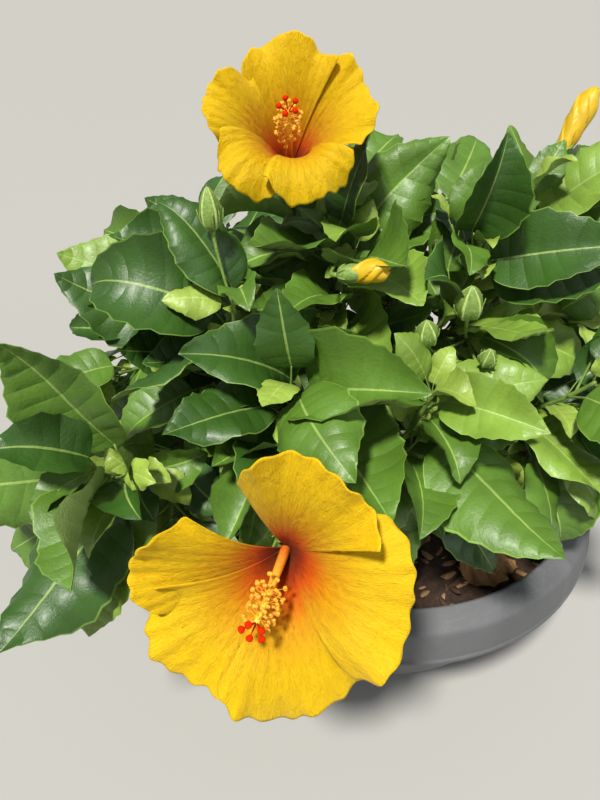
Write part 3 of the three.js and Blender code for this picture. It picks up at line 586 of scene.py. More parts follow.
# Meshes
class Skin:
    """Faces gathered from many small shapes into one closed mesh."""

    def __init__(self):
        self.points, self.faces, self.looks, self.sharp, self.uvs = [], [], [], [], []
        self.count = 0

    def add(self, points, faces, looks=None, sharp=None, uv=None):
        """faces and looks are lists of arrays, one array for each number of corners."""
        self.points.append(points)
        for k, block in enumerate(faces):
            self.faces.append(block + self.count)
            self.looks.append(np.zeros(len(block), int) if looks is None else looks[k])
        self.sharp.append(np.zeros(len(points), bool) if sharp is None else sharp)
        self.uvs.append(np.zeros((len(points), 2)) if uv is None else uv)
        self.count += len(points)

    def add_rings(self, first, rings, last, looks=None, sharp=None, uv=None, mirrored=None):
        """A closed skin over rings of equally many points, between two single end points.
        mirrored marks the strips whose faces are cut in two along the other diagonal."""
        rows, sides = rings.shape[:2]
        points = np.vstack([[first], rings.reshape(-1, 3), [last]])
        faces = ring_faces(rows, sides)
        if mirrored is not None:
            turned = np.tile(mirrored, rows - 1)
            faces[0][turned] = np.roll(faces[0][turned], 1, axis=1)
        if looks is not None:
            looks = [np.tile(looks, rows - 1), looks, looks]
        self.add(points, faces, looks, sharp, uv)

    def mesh(self, name, with_uv=False):
        mesh = bpy.data.meshes.new(name)
        points = np.concatenate(self.points) * MM
        corners = np.concatenate([block.ravel() for block in self.faces])
        sizes = np.concatenate([np.full(len(block), block.shape[1]) for block in self.faces])
        mesh.vertices.add(len(points))
        mesh.vertices.foreach_set("co", points.astype(np.float32).ravel())
        mesh.loops.add(len(corners))
        mesh.loops.foreach_set("vertex_index", corners.astype(np.int32))
        mesh.polygons.add(len(sizes))
        starts = np.concatenate([[0], np.cumsum(sizes)[:-1]])
        mesh.polygons.foreach_set("loop_start", starts.astype(np.int32))
        mesh.polygons.foreach_set("material_index", np.concatenate(self.looks).astype(np.int32))
        mesh.update(calc_edges=True)
        if with_uv:
            layer = mesh.uv_layers.new(name="UVMap")
            layer.data.foreach_set("uv", np.concatenate(self.uvs)[corners].ravel())
        creased = np.concatenate(self.sharp)
        if creased.any():
            ends = np.empty(len(mesh.edges) * 2, np.int32)
            mesh.edges.foreach_get("vertices", ends)
            sharp = creased[ends.reshape(-1, 2)].all(1)
            mesh.attributes.new("sharp_edge", "BOOLEAN", "EDGE").data.foreach_set("value", sharp)
        return mesh


def ring_faces(rows, sides):
    j = np.arange(sides)
    after = (j + 1) % sides
    a = (1 + np.arange(rows - 1)[:, None] * sides + j).ravel()
    b = (1 + np.arange(rows - 1)[:, None] * sides + after).ravel()
    quads = np.stack([a, b, b + sides, a + sides], 1)
    start = np.stack([np.zeros(sides, int), 1 + after, 1 + j], 1)
    base = 1 + (rows - 1) * sides
    end = np.stack([np.full(sides, 1 + rows * sides), base + j, base + after], 1)
    return [quads, start, end]


def place(mesh, materials, slot, replaces=()):
    """The mesh as a piece of the plant by its own name, riding on the one body."""
    for look in materials:
        mesh.materials.append(look)
    piece = scene_object(mesh.name, mesh)
    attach(piece, "root")
    if replaces:
        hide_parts(*replaces)
    return piece


def tube_rings(limb, first, last, rings, sides, swell=None):
    """Rings of points about a limb between two shares of its length."""
    shares = np.linspace(first, last, rings)
    along = limb.tangent(shares)
    across = np.cross(along, limb.sideways)
    turn = np.arange(sides) * FULL_TURN / sides
    radius = np.array([limb.radius_at(share) for share in shares])[:, None] * np.ones(sides)
    if swell is not None:
        radius = swell(shares[:, None], turn[None, :], radius)
    ring = (across[:, None] * np.cos(turn)[None, :, None]
            - limb.sideways * np.sin(turn)[None, :, None])
    return limb.point(shares)[:, None] + ring * radius[..., None]


def add_tube(skin, limb, first, last, rings, sides, swell=None, look=0, uv=False):
    points = tube_rings(limb, first, last, rings, sides, swell)
    looks = np.full(sides, look)
    places = None
    if uv:
        shares = np.linspace(0, 1, rings)
        turns = np.arange(sides) / sides
        grid = np.stack(np.broadcast_arrays(turns[None, :], shares[:, None]), -1)
        places = np.vstack([[(0.5, 0)], grid.reshape(-1, 2), [(0.5, 1)]])
    skin.add_rings(limb.point(first), points, limb.point(last), looks, uv=places)


def turned_rings(profile, axis, foot, sides, swell=None):
    """Rings about an axis from a profile of [radius, height] points."""
    profile = np.array(profile, float)
    first = perpendicular(axis)
    second = np.cross(axis, first)
    turn = np.arange(sides) * FULL_TURN / sides
    radius = profile[:, :1] * np.ones(sides)
    height = profile[:, 1:] * np.ones(sides)
    if swell is not None:
        radius, height = swell(radius, height, turn[None, :])
    return (foot + axis * height[..., None]
            + first * (radius * np.cos(turn))[..., None]
            + second * (radius * np.sin(turn))[..., None])


def add_turned(skin, profile, axis, foot, sides, swell=None, look=0, ends=None):
    rings = turned_rings(profile, axis, foot, sides, swell)
    low, high = ends or (profile[0][1], profile[-1][1])
    skin.add_rings(foot + axis * low, rings, foot + axis * high, np.full(sides, look))


def smooth_profile(corners, steps):
    """A rounded line through points [radius, height]: a Catmull-Rom curve."""
    points = np.array(corners, float)
    padded = np.vstack([2 * points[0] - points[1], points, 2 * points[-1] - points[-2]])
    line = []
    for before, start, end, after in zip(padded, padded[1:], padded[2:], padded[3:]):
        for t in np.arange(steps) / steps:
            line.append(0.5 * (2 * start + (end - before) * t
                               + (2 * before - 5 * start + 4 * end - after) * t**2
                               + (3 * start - before - 3 * end + after) * t**3))
    return [*line, points[-1]]


# Leaf blades. Columns lie across the top from margin to margin and back under the blade.
# Looks of a leaf's faces: blade, midrib, margin, underside
BLADE, MIDRIB, MARGIN, UNDERSIDE = range(4)
FULL_BLADE = Group(columns=(1, 0.97, 0.64, 0.3, 0.028), rows=19)
SMALL_BLADE = Group(columns=(1, 0.9, 0.48, 0.045), rows=15)
BLADE_FORM = Group(first_row=0.035, last_row=0.97, easing=0.4, furthest=0.985, widest_at=0.4,
                   base_bluntness=0.56, tip_bluntness=0.88, sweep=0.11, sweep_power=1.2,
                   margin_from=0.9, tooth=0.044, tooth_lean=0.009, toothless=0.2,
                   tooth_onset=0.12, tooth_end=0.08, relief=0.0115, vein_power=0.8,
                   vein_onset=0.15, wave=0.05, least_wave=0.4, wave_turns=1.9, wave_power=2,
                   bow_power=0.5, twist=0.85, twist_from=0.15, sickle=0.06, fold_spread=0.34,
                   cup_power=1.2, curl=0.85, curl_from=0.45, curl_power=1.6, side_curl=0.8,
                   side_curl_power=3, line_steps=40, thickness=0.4)
DRY_FORM = Group(**{**vars(BLADE_FORM), "relief": 0.034, "wave": 0.24, "wave_turns": 3.3,
                    "twist": 2.4, "curl": 1.2, "side_curl": 0.7, "thickness": 0.7})


def blade_columns(grid):
    """Places across the blade: over the top from one margin to the other, and back below."""
    half = list(grid.columns)
    top = [*half, *(-place for place in reversed(half))]
    return np.array([*top, *(-place for place in top[1:-1])]), len(top)


def blade_looks(grid):
    """The look of each strip of faces round a ring of the blade."""
    columns, tops = blade_columns(grid)
    looks = []
    for k, (here, after) in enumerate(zip(columns, np.roll(columns, -1))):
        if k >= tops - 1:
            looks.append(UNDERSIDE)
        elif here == -after:
            looks.append(MIDRIB)
        elif max(abs(here), abs(after)) == 1 and grid is FULL_BLADE:
            looks.append(MARGIN)
        else:
            looks.append(BLADE)
    return np.array(looks)


def ovate(u):
    """Half width of a blade: rounded at its base and pointed at its tip."""
    skew = math.log(0.5) / math.log(BLADE_FORM.widest_at)
    bluntness = mix(BLADE_FORM.base_bluntness, BLADE_FORM.tip_bluntness, u)
    return np.maximum(np.sin(math.pi * u**skew), 0) ** bluntness


def midrib_line(leaf, curl, form):
    """The midrib's points and bend at even shares of its length. It curls more to its tip."""
    u = np.linspace(0, 1, form.line_steps + 1)
    curled = np.maximum((u - form.curl_from) / (1 - form.curl_from), 0) ** form.curl_power
    bend = leaf.plan.droop * u + curl * curled
    step = (np.cos(bend)[:, None] * leaf.heading - np.sin(bend)[:, None] * leaf.facing)
    step *= leaf.plan.length / form.line_steps
    inner = (step[:-1] + step[1:]) / 2
    return u, np.vstack([leaf.base, leaf.base + np.cumsum(inner, axis=0)]), bend


def blade_whims(form, draws):
    """What sets one blade apart from the next."""
    return Group(twist=form.twist * draws.swing() * draws(), sickle=form.sickle * draws.swing(),
                 fold=LEAF.fold + form.fold_spread * draws.swing(),
                 curl=form.curl * draws.swing(), side_curl=form.side_curl * draws.swing(),
                 phases=(draws() * FULL_TURN, draws() * FULL_TURN),
                 wave=form.wave * (form.least_wave + draws()))


def blade_places(columns, rows, form):
    """Shares u of the length and v of the half width at the rings' points, with toothed margins."""
    turned = np.where(np.arange(rows) % 2 == 1, 1.0, -1.0)[:, None]
    even = np.linspace(0, 1, rows)[:, None]
    row = mix(form.first_row, form.last_row,
              mix(even, (1 - np.cos(math.pi * even)) / 2, form.easing))
    span = np.abs(columns)[None, :]
    teeth = (turned * (span >= form.margin_from)
             * (np.clip((row - form.toothless) / form.tooth_onset, 0, 1)
                * np.clip((1 - row) / form.tooth_end, 0, 1)))
    u = row + form.sweep * np.sin(math.pi * row) * span**form.sweep_power
    return Group(row=row, span=span, turned=turned, v=columns[None, :] * (1 + form.tooth * teeth),
                 u=np.clip(u + form.tooth_lean * teeth, 0, form.furthest))


def blade_lift(length, half, whim, at, form):
    """How far the points stand off the midrib's plane: folded, curled in, waved and veined."""
    bow = np.sin(math.pi * at.row)
    phase = np.where(at.v < 0, *whim.phases)
    wave = (whim.wave * np.sin(form.wave_turns * FULL_TURN * at.u + phase)
            * at.span**form.wave_power)
    veins = -form.relief * at.turned * np.sin(math.pi * at.span) ** form.vein_power
    curled = whim.side_curl * bow * at.span**form.side_curl_power * half
    return (np.abs(at.v) ** form.cup_power * half * math.sin(whim.fold) - curled
            + length * (wave + veins * np.clip(at.row / form.vein_onset, 0, 1))
            * bow**form.bow_power)


def add_blade(skin, leaf, grid, draws, form=BLADE_FORM):
    length, whim = leaf.plan.length, blade_whims(form, draws)
    columns, tops = blade_columns(grid)
    at = blade_places(columns, grid.rows, form)
    even, line, bends = midrib_line(leaf, whim.curl, form)
    middle = np.stack([np.interp(at.u, even, line[:, k]) for k in range(3)], -1)
    middle += leaf.across * (length * whim.sickle * at.u**2)[..., None]
    bend = np.interp(at.u, even, bends)[..., None]
    normal = leaf.facing * np.cos(bend) + leaf.heading * np.sin(bend)
    turn = (whim.twist * (at.u - form.twist_from))[..., None]
    across = leaf.across * np.cos(turn) + normal * np.sin(turn)
    normal = normal * np.cos(turn) - leaf.across * np.sin(turn)
    half = length * LEAF.width_share * ovate(at.u)
    lift = blade_lift(length, half, whim, at, form)
    margins = [0, tops - 1]
    side = np.full(len(columns), -form.thickness / 2)
    side[:tops] = form.thickness / 2
    side[margins] = 0
    points = (middle + across * (at.v * half * math.cos(whim.fold))[..., None]
              + normal * (lift + side[None, :])[..., None])
    sharp = np.zeros((grid.rows, len(columns)), bool)
    sharp[:, margins] = True
    sharp[1:-1:2] = True
    looks = blade_looks(grid)
    skin.add_rings(leaf.base, points, line[-1] + leaf.across * (length * whim.sickle), looks,
                   np.concatenate([[True], sharp.ravel(), [True]]), mirrored=looks == UNDERSIDE)


PETIOLE = Group(least_size=0.45, bend_share=0.7, overlap=2.5, foot_share=0.3, foot_swell=1.35,
                swell=1.2, taper=0.5, sides=6, finer_sides=4)


def add_petiole(skin, leaf, sides):
    """A leaf's stalk: it leaves the shoot, bends into the blade's direction and runs on below it."""
    radius = LEAF.petiole_radius * max(leaf.plan.length / LEAF.length, PETIOLE.least_size)
    stalk = np.linalg.norm(leaf.base - leaf.root)
    bend = leaf.root + leaf.rise * stalk * PETIOLE.bend_share
    end = leaf.base + leaf.heading * PETIOLE.overlap

    def radius_at(share):
        swell = PETIOLE.foot_swell if share < PETIOLE.foot_share else PETIOLE.swell
        return radius * (swell - PETIOLE.taper * share)

    add_tube(skin, Limb(leaf.root, bend, end, radius_at), 0, 1, sides, sides)


# Finishes
def linear_colour(red, green, blue):
    """A colour from its 0 to 255 display values."""
    shares = [value / 255 for value in (red, green, blue)]
    return tuple(s / 12.92 if s <= 0.04045 else ((s + 0.055) / 1.055) ** 2.4 for s in shares)


def shade(colour, factor):
    return tuple(min(part * factor, 1.0) for part in colour)


def mix_colour(first, second, share):
    return tuple(mix(a, b, share) for a, b in zip(first, second))


class NodeTree:
    """Nodes of a tree, and the links between them."""

    def __init__(self, tree):
        self.tree = tree

    def link(self, value, socket):
        if isinstance(value, bpy.types.NodeSocket):
            self.tree.links.new(value, socket)
        elif socket.type == "RGBA":
            socket.default_value = (*value, 1)
        else:
            socket.default_value = value

    def node(self, kind, settings=None, **inputs):
        """A node by its kind. An input is named with _ for a blank, or by i and its number."""
        node = self.tree.nodes.new(kind)
        for setting, value in (settings or {}).items():
            setattr(node, setting, value)
        for name, value in inputs.items():
            numbered = name[0] == "i" and name[1:].isdigit()
            self.link(value, node.inputs[int(name[1:]) if numbered else name.replace("_", " ")])
        return node

    def math(self, operation, *values):
        places = {f"i{k}": value for k, value in enumerate(values)}
        return self.node("ShaderNodeMath", {"operation": operation}, **places).outputs[0]


class Finish(NodeTree):
    """A material of nodes about one shader."""

    def __init__(self, name, roughness, **sockets):
        self.material = bpy.data.materials.new(name)
        self.material.use_nodes = True
        super().__init__(self.material.node_tree)
        self.shader = self.tree.nodes["Principled BSDF"]
        self.shader.inputs["Roughness"].default_value = roughness
        for socket, value in sockets.items():
            self.shader.inputs[socket.replace("_", " ")].default_value = value
        self.spots = self.node("ShaderNodeTexCoord")

    def places(self, stretch, turn, uv):
        return self.node("ShaderNodeMapping", Vector=self.spots.outputs["UV" if uv else "Object"],
                         Rotation=turn, Scale=stretch).outputs["Vector"]

    def noise(self, scale, detail=4, roughness=0.5, distortion=0, stretch=(1, 1, 1),
              turn=(0, 0, 0), uv=False):
        return self.node("ShaderNodeTexNoise", Vector=self.places(stretch, turn, uv), Scale=scale,
                         Detail=detail, Roughness=roughness, Distortion=distortion).outputs["Fac"]

    def cracks(self, scale, stretch):
        """The distance to the edges between cells."""
        return self.node("ShaderNodeTexVoronoi", {"feature": "DISTANCE_TO_EDGE"}, Scale=scale,
                         Vector=self.places(stretch, (0, 0, 0), False)).outputs["Distance"]

    def along(self):
        """The share of a petal's or column's length, from its UV map."""
        return self.node("ShaderNodeSeparateXYZ", Vector=self.spots.outputs["UV"]).outputs["Y"]

    def ramp(self, factor, *stops):
        """Colours or numbers at places along a factor."""
        node = self.node("ShaderNodeValToRGB", Fac=factor)
        elements = node.color_ramp.elements
        while len(elements) < len(stops):
            elements.new(0.5)
        for element, (place_on, colour) in zip(elements, stops):
            element.position = place_on
            element.color = (*colour, 1) if isinstance(colour, tuple) else (colour,) * 3 + (1,)
        return node.outputs["Color"]

    def tones(self, factor, colour, *stops):
        """Shades of one colour at places along a factor."""
        return self.ramp(factor, *((place_on, shade(colour, tone)) for place_on, tone in stops))

    def blend(self, factor, first, second):
        return self.node("ShaderNodeMix", {"data_type": "RGBA"}, i0=factor, i6=first,
                         i7=second).outputs[2]

    def colour(self, value):
        self.link(value, self.shader.inputs["Base Color"])

    def flecks(self, body, factor, start, end, most, colour):
        """The body with another colour over it, from nothing to its most along a factor."""
        self.colour(self.blend(self.ramp(factor, (start, 0.0), (end, most)), body, colour))

    def rough(self, factor, low, high):
        node = self.node("ShaderNodeMapRange", Value=factor, To_Min=low, To_Max=high)
        self.link(node.outputs["Result"], self.shader.inputs["Roughness"])

    def relief(self, *layers):
        """Bumps of layers (height, depth in metres), one over the other."""
        below = {}
        for height, depth in layers:
            node = self.node("ShaderNodeBump", Height=height, Distance=depth, **below)
            below = {"Normal": node.outputs["Normal"]}
        self.link(below["Normal"], self.shader.inputs["Normal"])


def pot_finish(colour):
    finish = Finish("pot_plastic", 0.55, Specular_IOR_Level=0.4)
    dust = finish.ramp(finish.noise(9, 6, 0.6, 0.4), (0.42, 0.0), (0.72, 1.0))
    streaks = finish.ramp(finish.noise(28, 5, 0.7, 0.6, stretch=(1, 1, 0.25)),
                          (0.5, 0.0), (0.8, 1.0))
    scuffs = finish.ramp(finish.cracks(60, stretch=(1, 1, 4)), (0.0, 0.35), (0.02, 0.0))
    body = finish.blend(dust, shade(colour, 0.9), shade(colour, 1.16))
    body = finish.blend(streaks, body, shade(colour, 1.3))
    finish.colour(finish.blend(scuffs, body, shade(colour, 1.6)))
    finish.rough(dust, 0.45, 0.66)
    finish.relief((finish.noise(1500, 2), 0.00006), (finish.noise(45, 3), 0.0006))
    return finish.material


def soil_finish(colour):
    finish = Finish("potting_soil", 0.95)
    clods = finish.noise(130, 6, 0.65)
    crumbs = finish.noise(700, 4, 0.6)
    body = finish.tones(clods, colour, (0.3, 0.45), (0.55, 1), (0.8, 2.0))
    finish.flecks(body, crumbs, 0.62, 0.75, 0.5, shade(colour, 3.2))
    finish.relief((clods, 0.004), (crumbs, 0.0012))
    return finish.material


def chip_finish(name, colour):
    finish = Finish(name, 0.85)
    fibres = finish.noise(260, 5, 0.6, stretch=(1, 0.2, 1), turn=(0.3, 0.2, 0.7))
    body = finish.tones(fibres, colour, (0.3, 0.55), (0.6, 1), (0.85, 1.5))
    finish.colour(finish.blend(finish.noise(60, 3), body, shade(colour, 0.7)))
    finish.relief((fibres, 0.0006))
    return finish.material


def bark_finish(colour):
    finish = Finish("bark", 0.82)
    flecks = finish.noise(420, 4, 0.6, stretch=(1, 1, 0.35))
    body = finish.tones(finish.noise(38, 5, 0.6), colour, (0.3, 0.7), (0.55, 1), (0.8, 1.45))
    finish.flecks(body, flecks, 0.45, 0.75, 0.8, shade(colour, 0.5))
    finish.relief((flecks, 0.0008), (finish.noise(1400, 3), 0.0002))
    return finish.material


def stem_finish(name, colour, flecked):
    finish = Finish(name, 0.5)
    body = finish.tones(finish.noise(55, 3), colour, (0.3, 0.75), (0.7, 1.25))
    finish.flecks(body, finish.noise(900, 2), 0.6, 0.72, flecked, shade(colour, 0.5))
    finish.relief((finish.noise(600, 3, stretch=(1, 1, 0.3)), 0.0003))
    return finish.material


def leaf_finish(name, colour, roughness=0.45, spread=0.2, coat=0.08, relief=0.00012):
    finish = Finish(name, roughness, Coat_Weight=coat, Coat_Roughness=0.28,
                    Specular_IOR_Level=0.45)
    grain = finish.noise(420, 3, 0.6)
    body = finish.tones(finish.noise(34, 3), colour, (0.3, 1 - spread), (0.7, 1 + spread))
    finish.flecks(body, grain, 0.4, 0.8, 0.35, shade(colour, 0.72))
    finish.rough(grain, roughness - 0.05, roughness + 0.1)
    finish.relief((grain, relief * 3), (finish.noise(1800, 2), relief))
    return finish.material


def petal_finish(tones):
    """Yellow petals with a red eye, a painted shade of darker yellow between the eye and the face,
    fine veins that run out from it, and a satin surface.
    """
    finish = Finish("petal", 0.5, Subsurface_Weight=0.3, Subsurface_Scale=0.004,
                    Subsurface_Radius=(1.0, 0.7, 0.2), Sheen_Weight=0.03, Sheen_Roughness=0.5,
                    Specular_IOR_Level=0.15)
    uneven = finish.noise(9, 4, 0.6, stretch=(5, 1, 1), uv=True)
    wander = finish.math("MULTIPLY_ADD", uneven, 0.1, finish.along())
    # The stop at 0.43 is painted shade: the darker yellow of the cup's shaded inner part. The vein
    # lines take a darker tint of it.
    radial = finish.ramp(wander, (0.09, shade(tones.eye, 0.4)), (0.17, tones.eye),
                         (0.26, tones.throat), (0.43, tones.shadowed), (0.7, tones.face),
                         (1.0, shade(tones.face, 1.06)))
    veins = finish.noise(26, 4, 0.55, 0.3, stretch=(6, 0.35, 1), uv=True)
    fine = finish.noise(70, 3, 0.6, 0.1, stretch=(5, 0.4, 1), uv=True)
    lines = finish.ramp(veins, (0.42, 0.22), (0.54, 0.0))
    body = finish.blend(lines, radial, shade(tones.shadowed, 0.9))
    finish.flecks(body, fine, 0.55, 0.8, 0.25, shade(tones.face, 1.08))
    finish.rough(veins, 0.42, 0.6)
    finish.relief((finish.noise(7, 4, 0.6, 0.5, stretch=(2, 1, 1), uv=True), 0.002),
                  (veins, 0.0008), (fine, 0.00015))
    return finish.material


def column_finish(root, tip):
    finish = Finish("bloom_column", 0.45, Subsurface_Weight=0.1, Subsurface_Scale=0.002)
    body = finish.ramp(finish.along(), (0.04, root), (0.4, mix_colour(root, tip, 0.55)),
                       (0.75, tip))
    finish.flecks(body, finish.noise(500, 3), 0.4, 0.8, 0.5, shade(tip, 1.1))
    finish.relief((finish.noise(900, 2), 0.0002))
    return finish.material


def small_finish(name, colour, roughness, scale=700, depth=0.0003, spread=0.3, gloss=0.5):
    finish = Finish(name, roughness, Subsurface_Weight=0.06, Subsurface_Scale=0.002,
                    Specular_IOR_Level=gloss)
    grain = finish.noise(scale, 3)
    finish.colour(finish.tones(grain, colour, (0.3, 1 - spread), (0.7, 1 + spread * 0.6)))
    finish.relief((grain, depth))
    return finish.material


# Geometry Nodes
class GrowingTree(NodeTree):
    """A Geometry Nodes tree with named inputs."""

    def __init__(self, name):
        super().__init__(bpy.data.node_groups.new(name, "GeometryNodeTree"))
        for way in ("INPUT", "OUTPUT"):
            self.tree.interface.new_socket("Geometry", in_out=way,
                                           socket_type="NodeSocketGeometry")
        self.start, self.end = self.node("NodeGroupInput"), self.node("NodeGroupOutput")

    def inputs(self, **kinds):
        """Inputs of the tree by name, with _ for a blank, and kind."""
        names = {name.replace("_", " "): kind for name, kind in kinds.items()}
        for name, kind in names.items():
            self.tree.interface.new_socket(name, in_out="INPUT", socket_type="NodeSocket" + kind)
        return [self.start.outputs[name] for name in names]

    def attribute(self, name):
        return self.node("GeometryNodeInputNamedAttribute", {"data_type": "FLOAT"},
                         Name=name).outputs["Attribute"]

    def rail(self):
        """The edges of the source as curves."""
        return self.node("GeometryNodeMeshToCurve",
                         Mesh=self.start.outputs["Geometry"]).outputs[0]

    def random(self, low, high, seed, shift):
        """A random number for each point. The shift sets it apart from others of one seed."""
        return self.node("FunctionNodeRandomValue", {"data_type": "FLOAT"}, i2=low, i3=high,
                         Seed=self.math("ADD", seed, float(shift))).outputs[1]

    def swing(self, reach, seed, shift):
        return self.random(self.math("MULTIPLY", reach, -1.0), reach, seed, shift)

    def turned(self, rotation, axis, angle):
        """A rotation followed by a turn about one of its own axes."""
        turn = self.node("FunctionNodeAxisAngleToRotation", Axis=axis, Angle=angle).outputs[0]
        return self.node("FunctionNodeRotateRotation", {"rotation_space": "LOCAL"},
                         Rotation=rotation, Rotate_By=turn).outputs[0]

    def copies(self, shape, points, rotation, size):
        model = self.node("GeometryNodeObjectInfo", Object=shape).outputs["Geometry"]
        return self.node("GeometryNodeInstanceOnPoints", Points=points, Instance=model,
                         Rotation=rotation, Scale=size).outputs[0]

    def finish(self, geometry, material):
        whole = self.node("GeometryNodeRealizeInstances", Geometry=geometry).outputs[0]
        dressed = self.node("GeometryNodeSetMaterial", Geometry=whole, Material=material)
        self.tree.links.new(dressed.outputs[0], self.end.inputs[0])
        return self.tree


def made_by(tree, source, name, values):
    """What a tree makes of a source object, as a plain mesh. The source object goes."""
    modifier = source.modifiers.new(name, "NODES")
    modifier.node_group = tree
    for item in tree.interface.items_tree:
        if item.item_type == "SOCKET" and item.in_out == "INPUT" and item.name in values:
            modifier[item.identifier] = values[item.name]
    source.update_tag()
    graph = bpy.context.evaluated_depsgraph_get()
    mesh = bpy.data.meshes.new_from_object(source.evaluated_get(graph))
    mesh.name = name
    bpy.data.objects.remove(source)
    return mesh


def scene_object(name, data):
    thing = bpy.data.objects.new(name, data)
    bpy.context.scene.collection.objects.link(thing)
    return thing


def bark_tree():
    """Tubes along curves, with furrows that run lengthwise."""
    tree = GrowingTree("bark_relief")
    sides, depth, scale, stretch, material = tree.inputs(
        Sides="Int", Furrow_Depth="Float", Furrow_Scale="Float", Furrow_Length="Float",
        Material="Material")
    circle = tree.node("GeometryNodeCurvePrimitiveCircle", Resolution=sides, Radius=1.0)
    factor = tree.node("GeometryNodeSplineParameter").outputs["Factor"]
    profile = tree.node("GeometryNodeStoreNamedAttribute",
                        {"data_type": "FLOAT", "domain": "POINT"},
                        Geometry=circle.outputs["Curve"], Name="around", Value=factor)
    thickness = tree.attribute("thickness")
    tube = tree.node("GeometryNodeCurveToMesh", Curve=tree.rail(),
                     Profile_Curve=profile.outputs[0], Scale=thickness, Fill_Caps=True)
    turn = tree.math("MULTIPLY", tree.attribute("around"), FULL_TURN)
    across = tree.math("MULTIPLY", tree.math("COSINE", turn), thickness)
    beside = tree.math("MULTIPLY", tree.math("SINE", turn), thickness)
    along = tree.math("DIVIDE", tree.attribute("along"), stretch)
    where = tree.node("ShaderNodeCombineXYZ", X=across, Y=beside, Z=along).outputs[0]
    noise = tree.node("ShaderNodeTexNoise", Vector=where, Scale=scale, Detail=3.0,
                      Roughness=0.6).outputs["Fac"]
    height = tree.math("MULTIPLY", tree.math("SUBTRACT", noise, 0.5), depth)
    normal = tree.node("GeometryNodeInputNormal").outputs[0]
    offset = tree.node("ShaderNodeVectorMath", {"operation": "SCALE"}, i0=normal,
                       Scale=height).outputs[0]
    moved = tree.node("GeometryNodeSetPosition", Geometry=tube.outputs[0], Offset=offset)
    return tree.finish(moved.outputs[0], material)


def scatter_tree():
    """Copies of one shape strewn over a surface, lying at random angles and sizes."""
    tree = GrowingTree("strewn_pieces")
    shape, density, smallest, largest, tilt, seed, material = tree.inputs(
        Shape="Object", Density="Float", Smallest="Float", Largest="Float", Tilt="Float",
        Seed="Int", Material="Material")
    spots = tree.node("GeometryNodeDistributePointsOnFaces",
                      Mesh=tree.start.outputs["Geometry"], Density=density, Seed=seed)
    turn = tree.node("ShaderNodeCombineXYZ", X=tree.swing(tilt, seed, 1),
                     Y=tree.swing(tilt, seed, 2), Z=tree.swing(math.pi, seed, 3)).outputs[0]
    size = tree.random(smallest, largest, seed, 4)
    return tree.finish(tree.copies(shape, spots.outputs["Points"], turn, size), material)


def whorl_tree():
    """Copies of one shape that stand out of a curve and wind about it."""
    tree = GrowingTree("anther_whorls")
    shape, count, turn, lean, smallest, largest, seed, material = tree.inputs(
        Shape="Object", Count="Int", Turn="Float", Lean="Float", Smallest="Float",
        Largest="Float", Seed="Int", Material="Material")
    points = tree.node("GeometryNodeCurveToPoints", {"mode": "COUNT"}, Curve=tree.rail(),
                       Count=count)
    index = tree.node("GeometryNodeInputIndex").outputs[0]
    outward = tree.turned(points.outputs["Rotation"], (0.0, 0.0, 1.0),
                          tree.math("MULTIPLY", index, turn))
    facing = tree.turned(outward, (0.0, 1.0, 0.0), tree.swing(lean, seed, 0))
    size = tree.random(smallest, largest, seed, 1)
    return tree.finish(tree.copies(shape, points.outputs["Points"], facing, size), material)


def rail_mesh(name, rails):
    """Lines of points as edges, with each point's thickness and its distance along the line."""
    points, edges, thickness, along = [], [], [], []
    for k, (line, radii) in enumerate(rails):
        first = len(points)
        edges += [(first + i, first + i + 1) for i in range(len(line) - 1)]
        gone = np.concatenate([[0], np.cumsum(np.linalg.norm(np.diff(line, axis=0), axis=1))])
        points += list(line * MM)
        thickness += list(radii * MM)
        along += list(gone * MM + k)
    mesh = bpy.data.meshes.new(name)
    mesh.from_pydata(points, edges, [])
    for title, values in (("thickness", thickness), ("along", along)):
        mesh.attributes.new(title, "FLOAT", "POINT").data.foreach_set("value", values)
    return mesh


# Pot and soil
FOOT_RING = Group(outer=8, crest=10, inner=12, height=1.2, round=0.8)
POT_ROUNDS = Group(foot=3, neck=1.5, under_lip=0.8, lip_foot=1.2, lip_edge=0.9, lip_top=1,
                   crease=4, rim=2.4, rim_inside=2.2, floor=5)
BOWL_POINTS = Group(outside=22, inside=18, soil=14)
BED = Group(sides=180, rings=46, edge_gap=1, floor_lift=0.5, wall_drop=3, centre_share=0.02)
CLODS = Group(seed=11, waves=26, smallest=9, spread=46, height=0.055)
STREWN = Group(sides=96, rings=26, least_radius=30, edge_gap=9)
CHIP = Group(shares=(-1, -0.6, 0.1, 0.65, 1), taper=0.55, least_width=0.8, width_spread=0.4,
             least_height=0.7, height_spread=0.5, drift=0.12, ragged=2, chamfers=(0.9, 0.8),
             end=1.5)


def rounded(corners, steps=5, most_cut=0.45, least_cut=0.05):
    """A profile through [radius, height, round] corners, each cut back by its round."""
    points = np.array([corner[:2] for corner in corners], float)
    line = [points[0]]
    for k in range(1, len(points) - 1):
        here = points[k]
        back, on = points[k - 1] - here, points[k + 1] - here
        cut = min(corners[k][2], np.linalg.norm(back) * most_cut, np.linalg.norm(on) * most_cut)
        if cut < least_cut:
            line.append(here)
            continue
        start, end = here + unit(back) * cut, here + unit(on) * cut
        line += [arc_between(start, here, end, t) for t in np.linspace(0, 1, steps)]
    return [*line, points[-1]]


def bowl_line(inset, steps):
    start = vector((POT.base_radius - inset, POT.foot_round + inset / 2))
    bend = vector((POT.belly_radius - inset, POT.belly_height + inset / 2))
    end = vector((POT.opening_radius + POT.wall - inset, POT.neck_height))
    return arc_between(start, bend, end, np.linspace(0, 1, steps)[:, None])


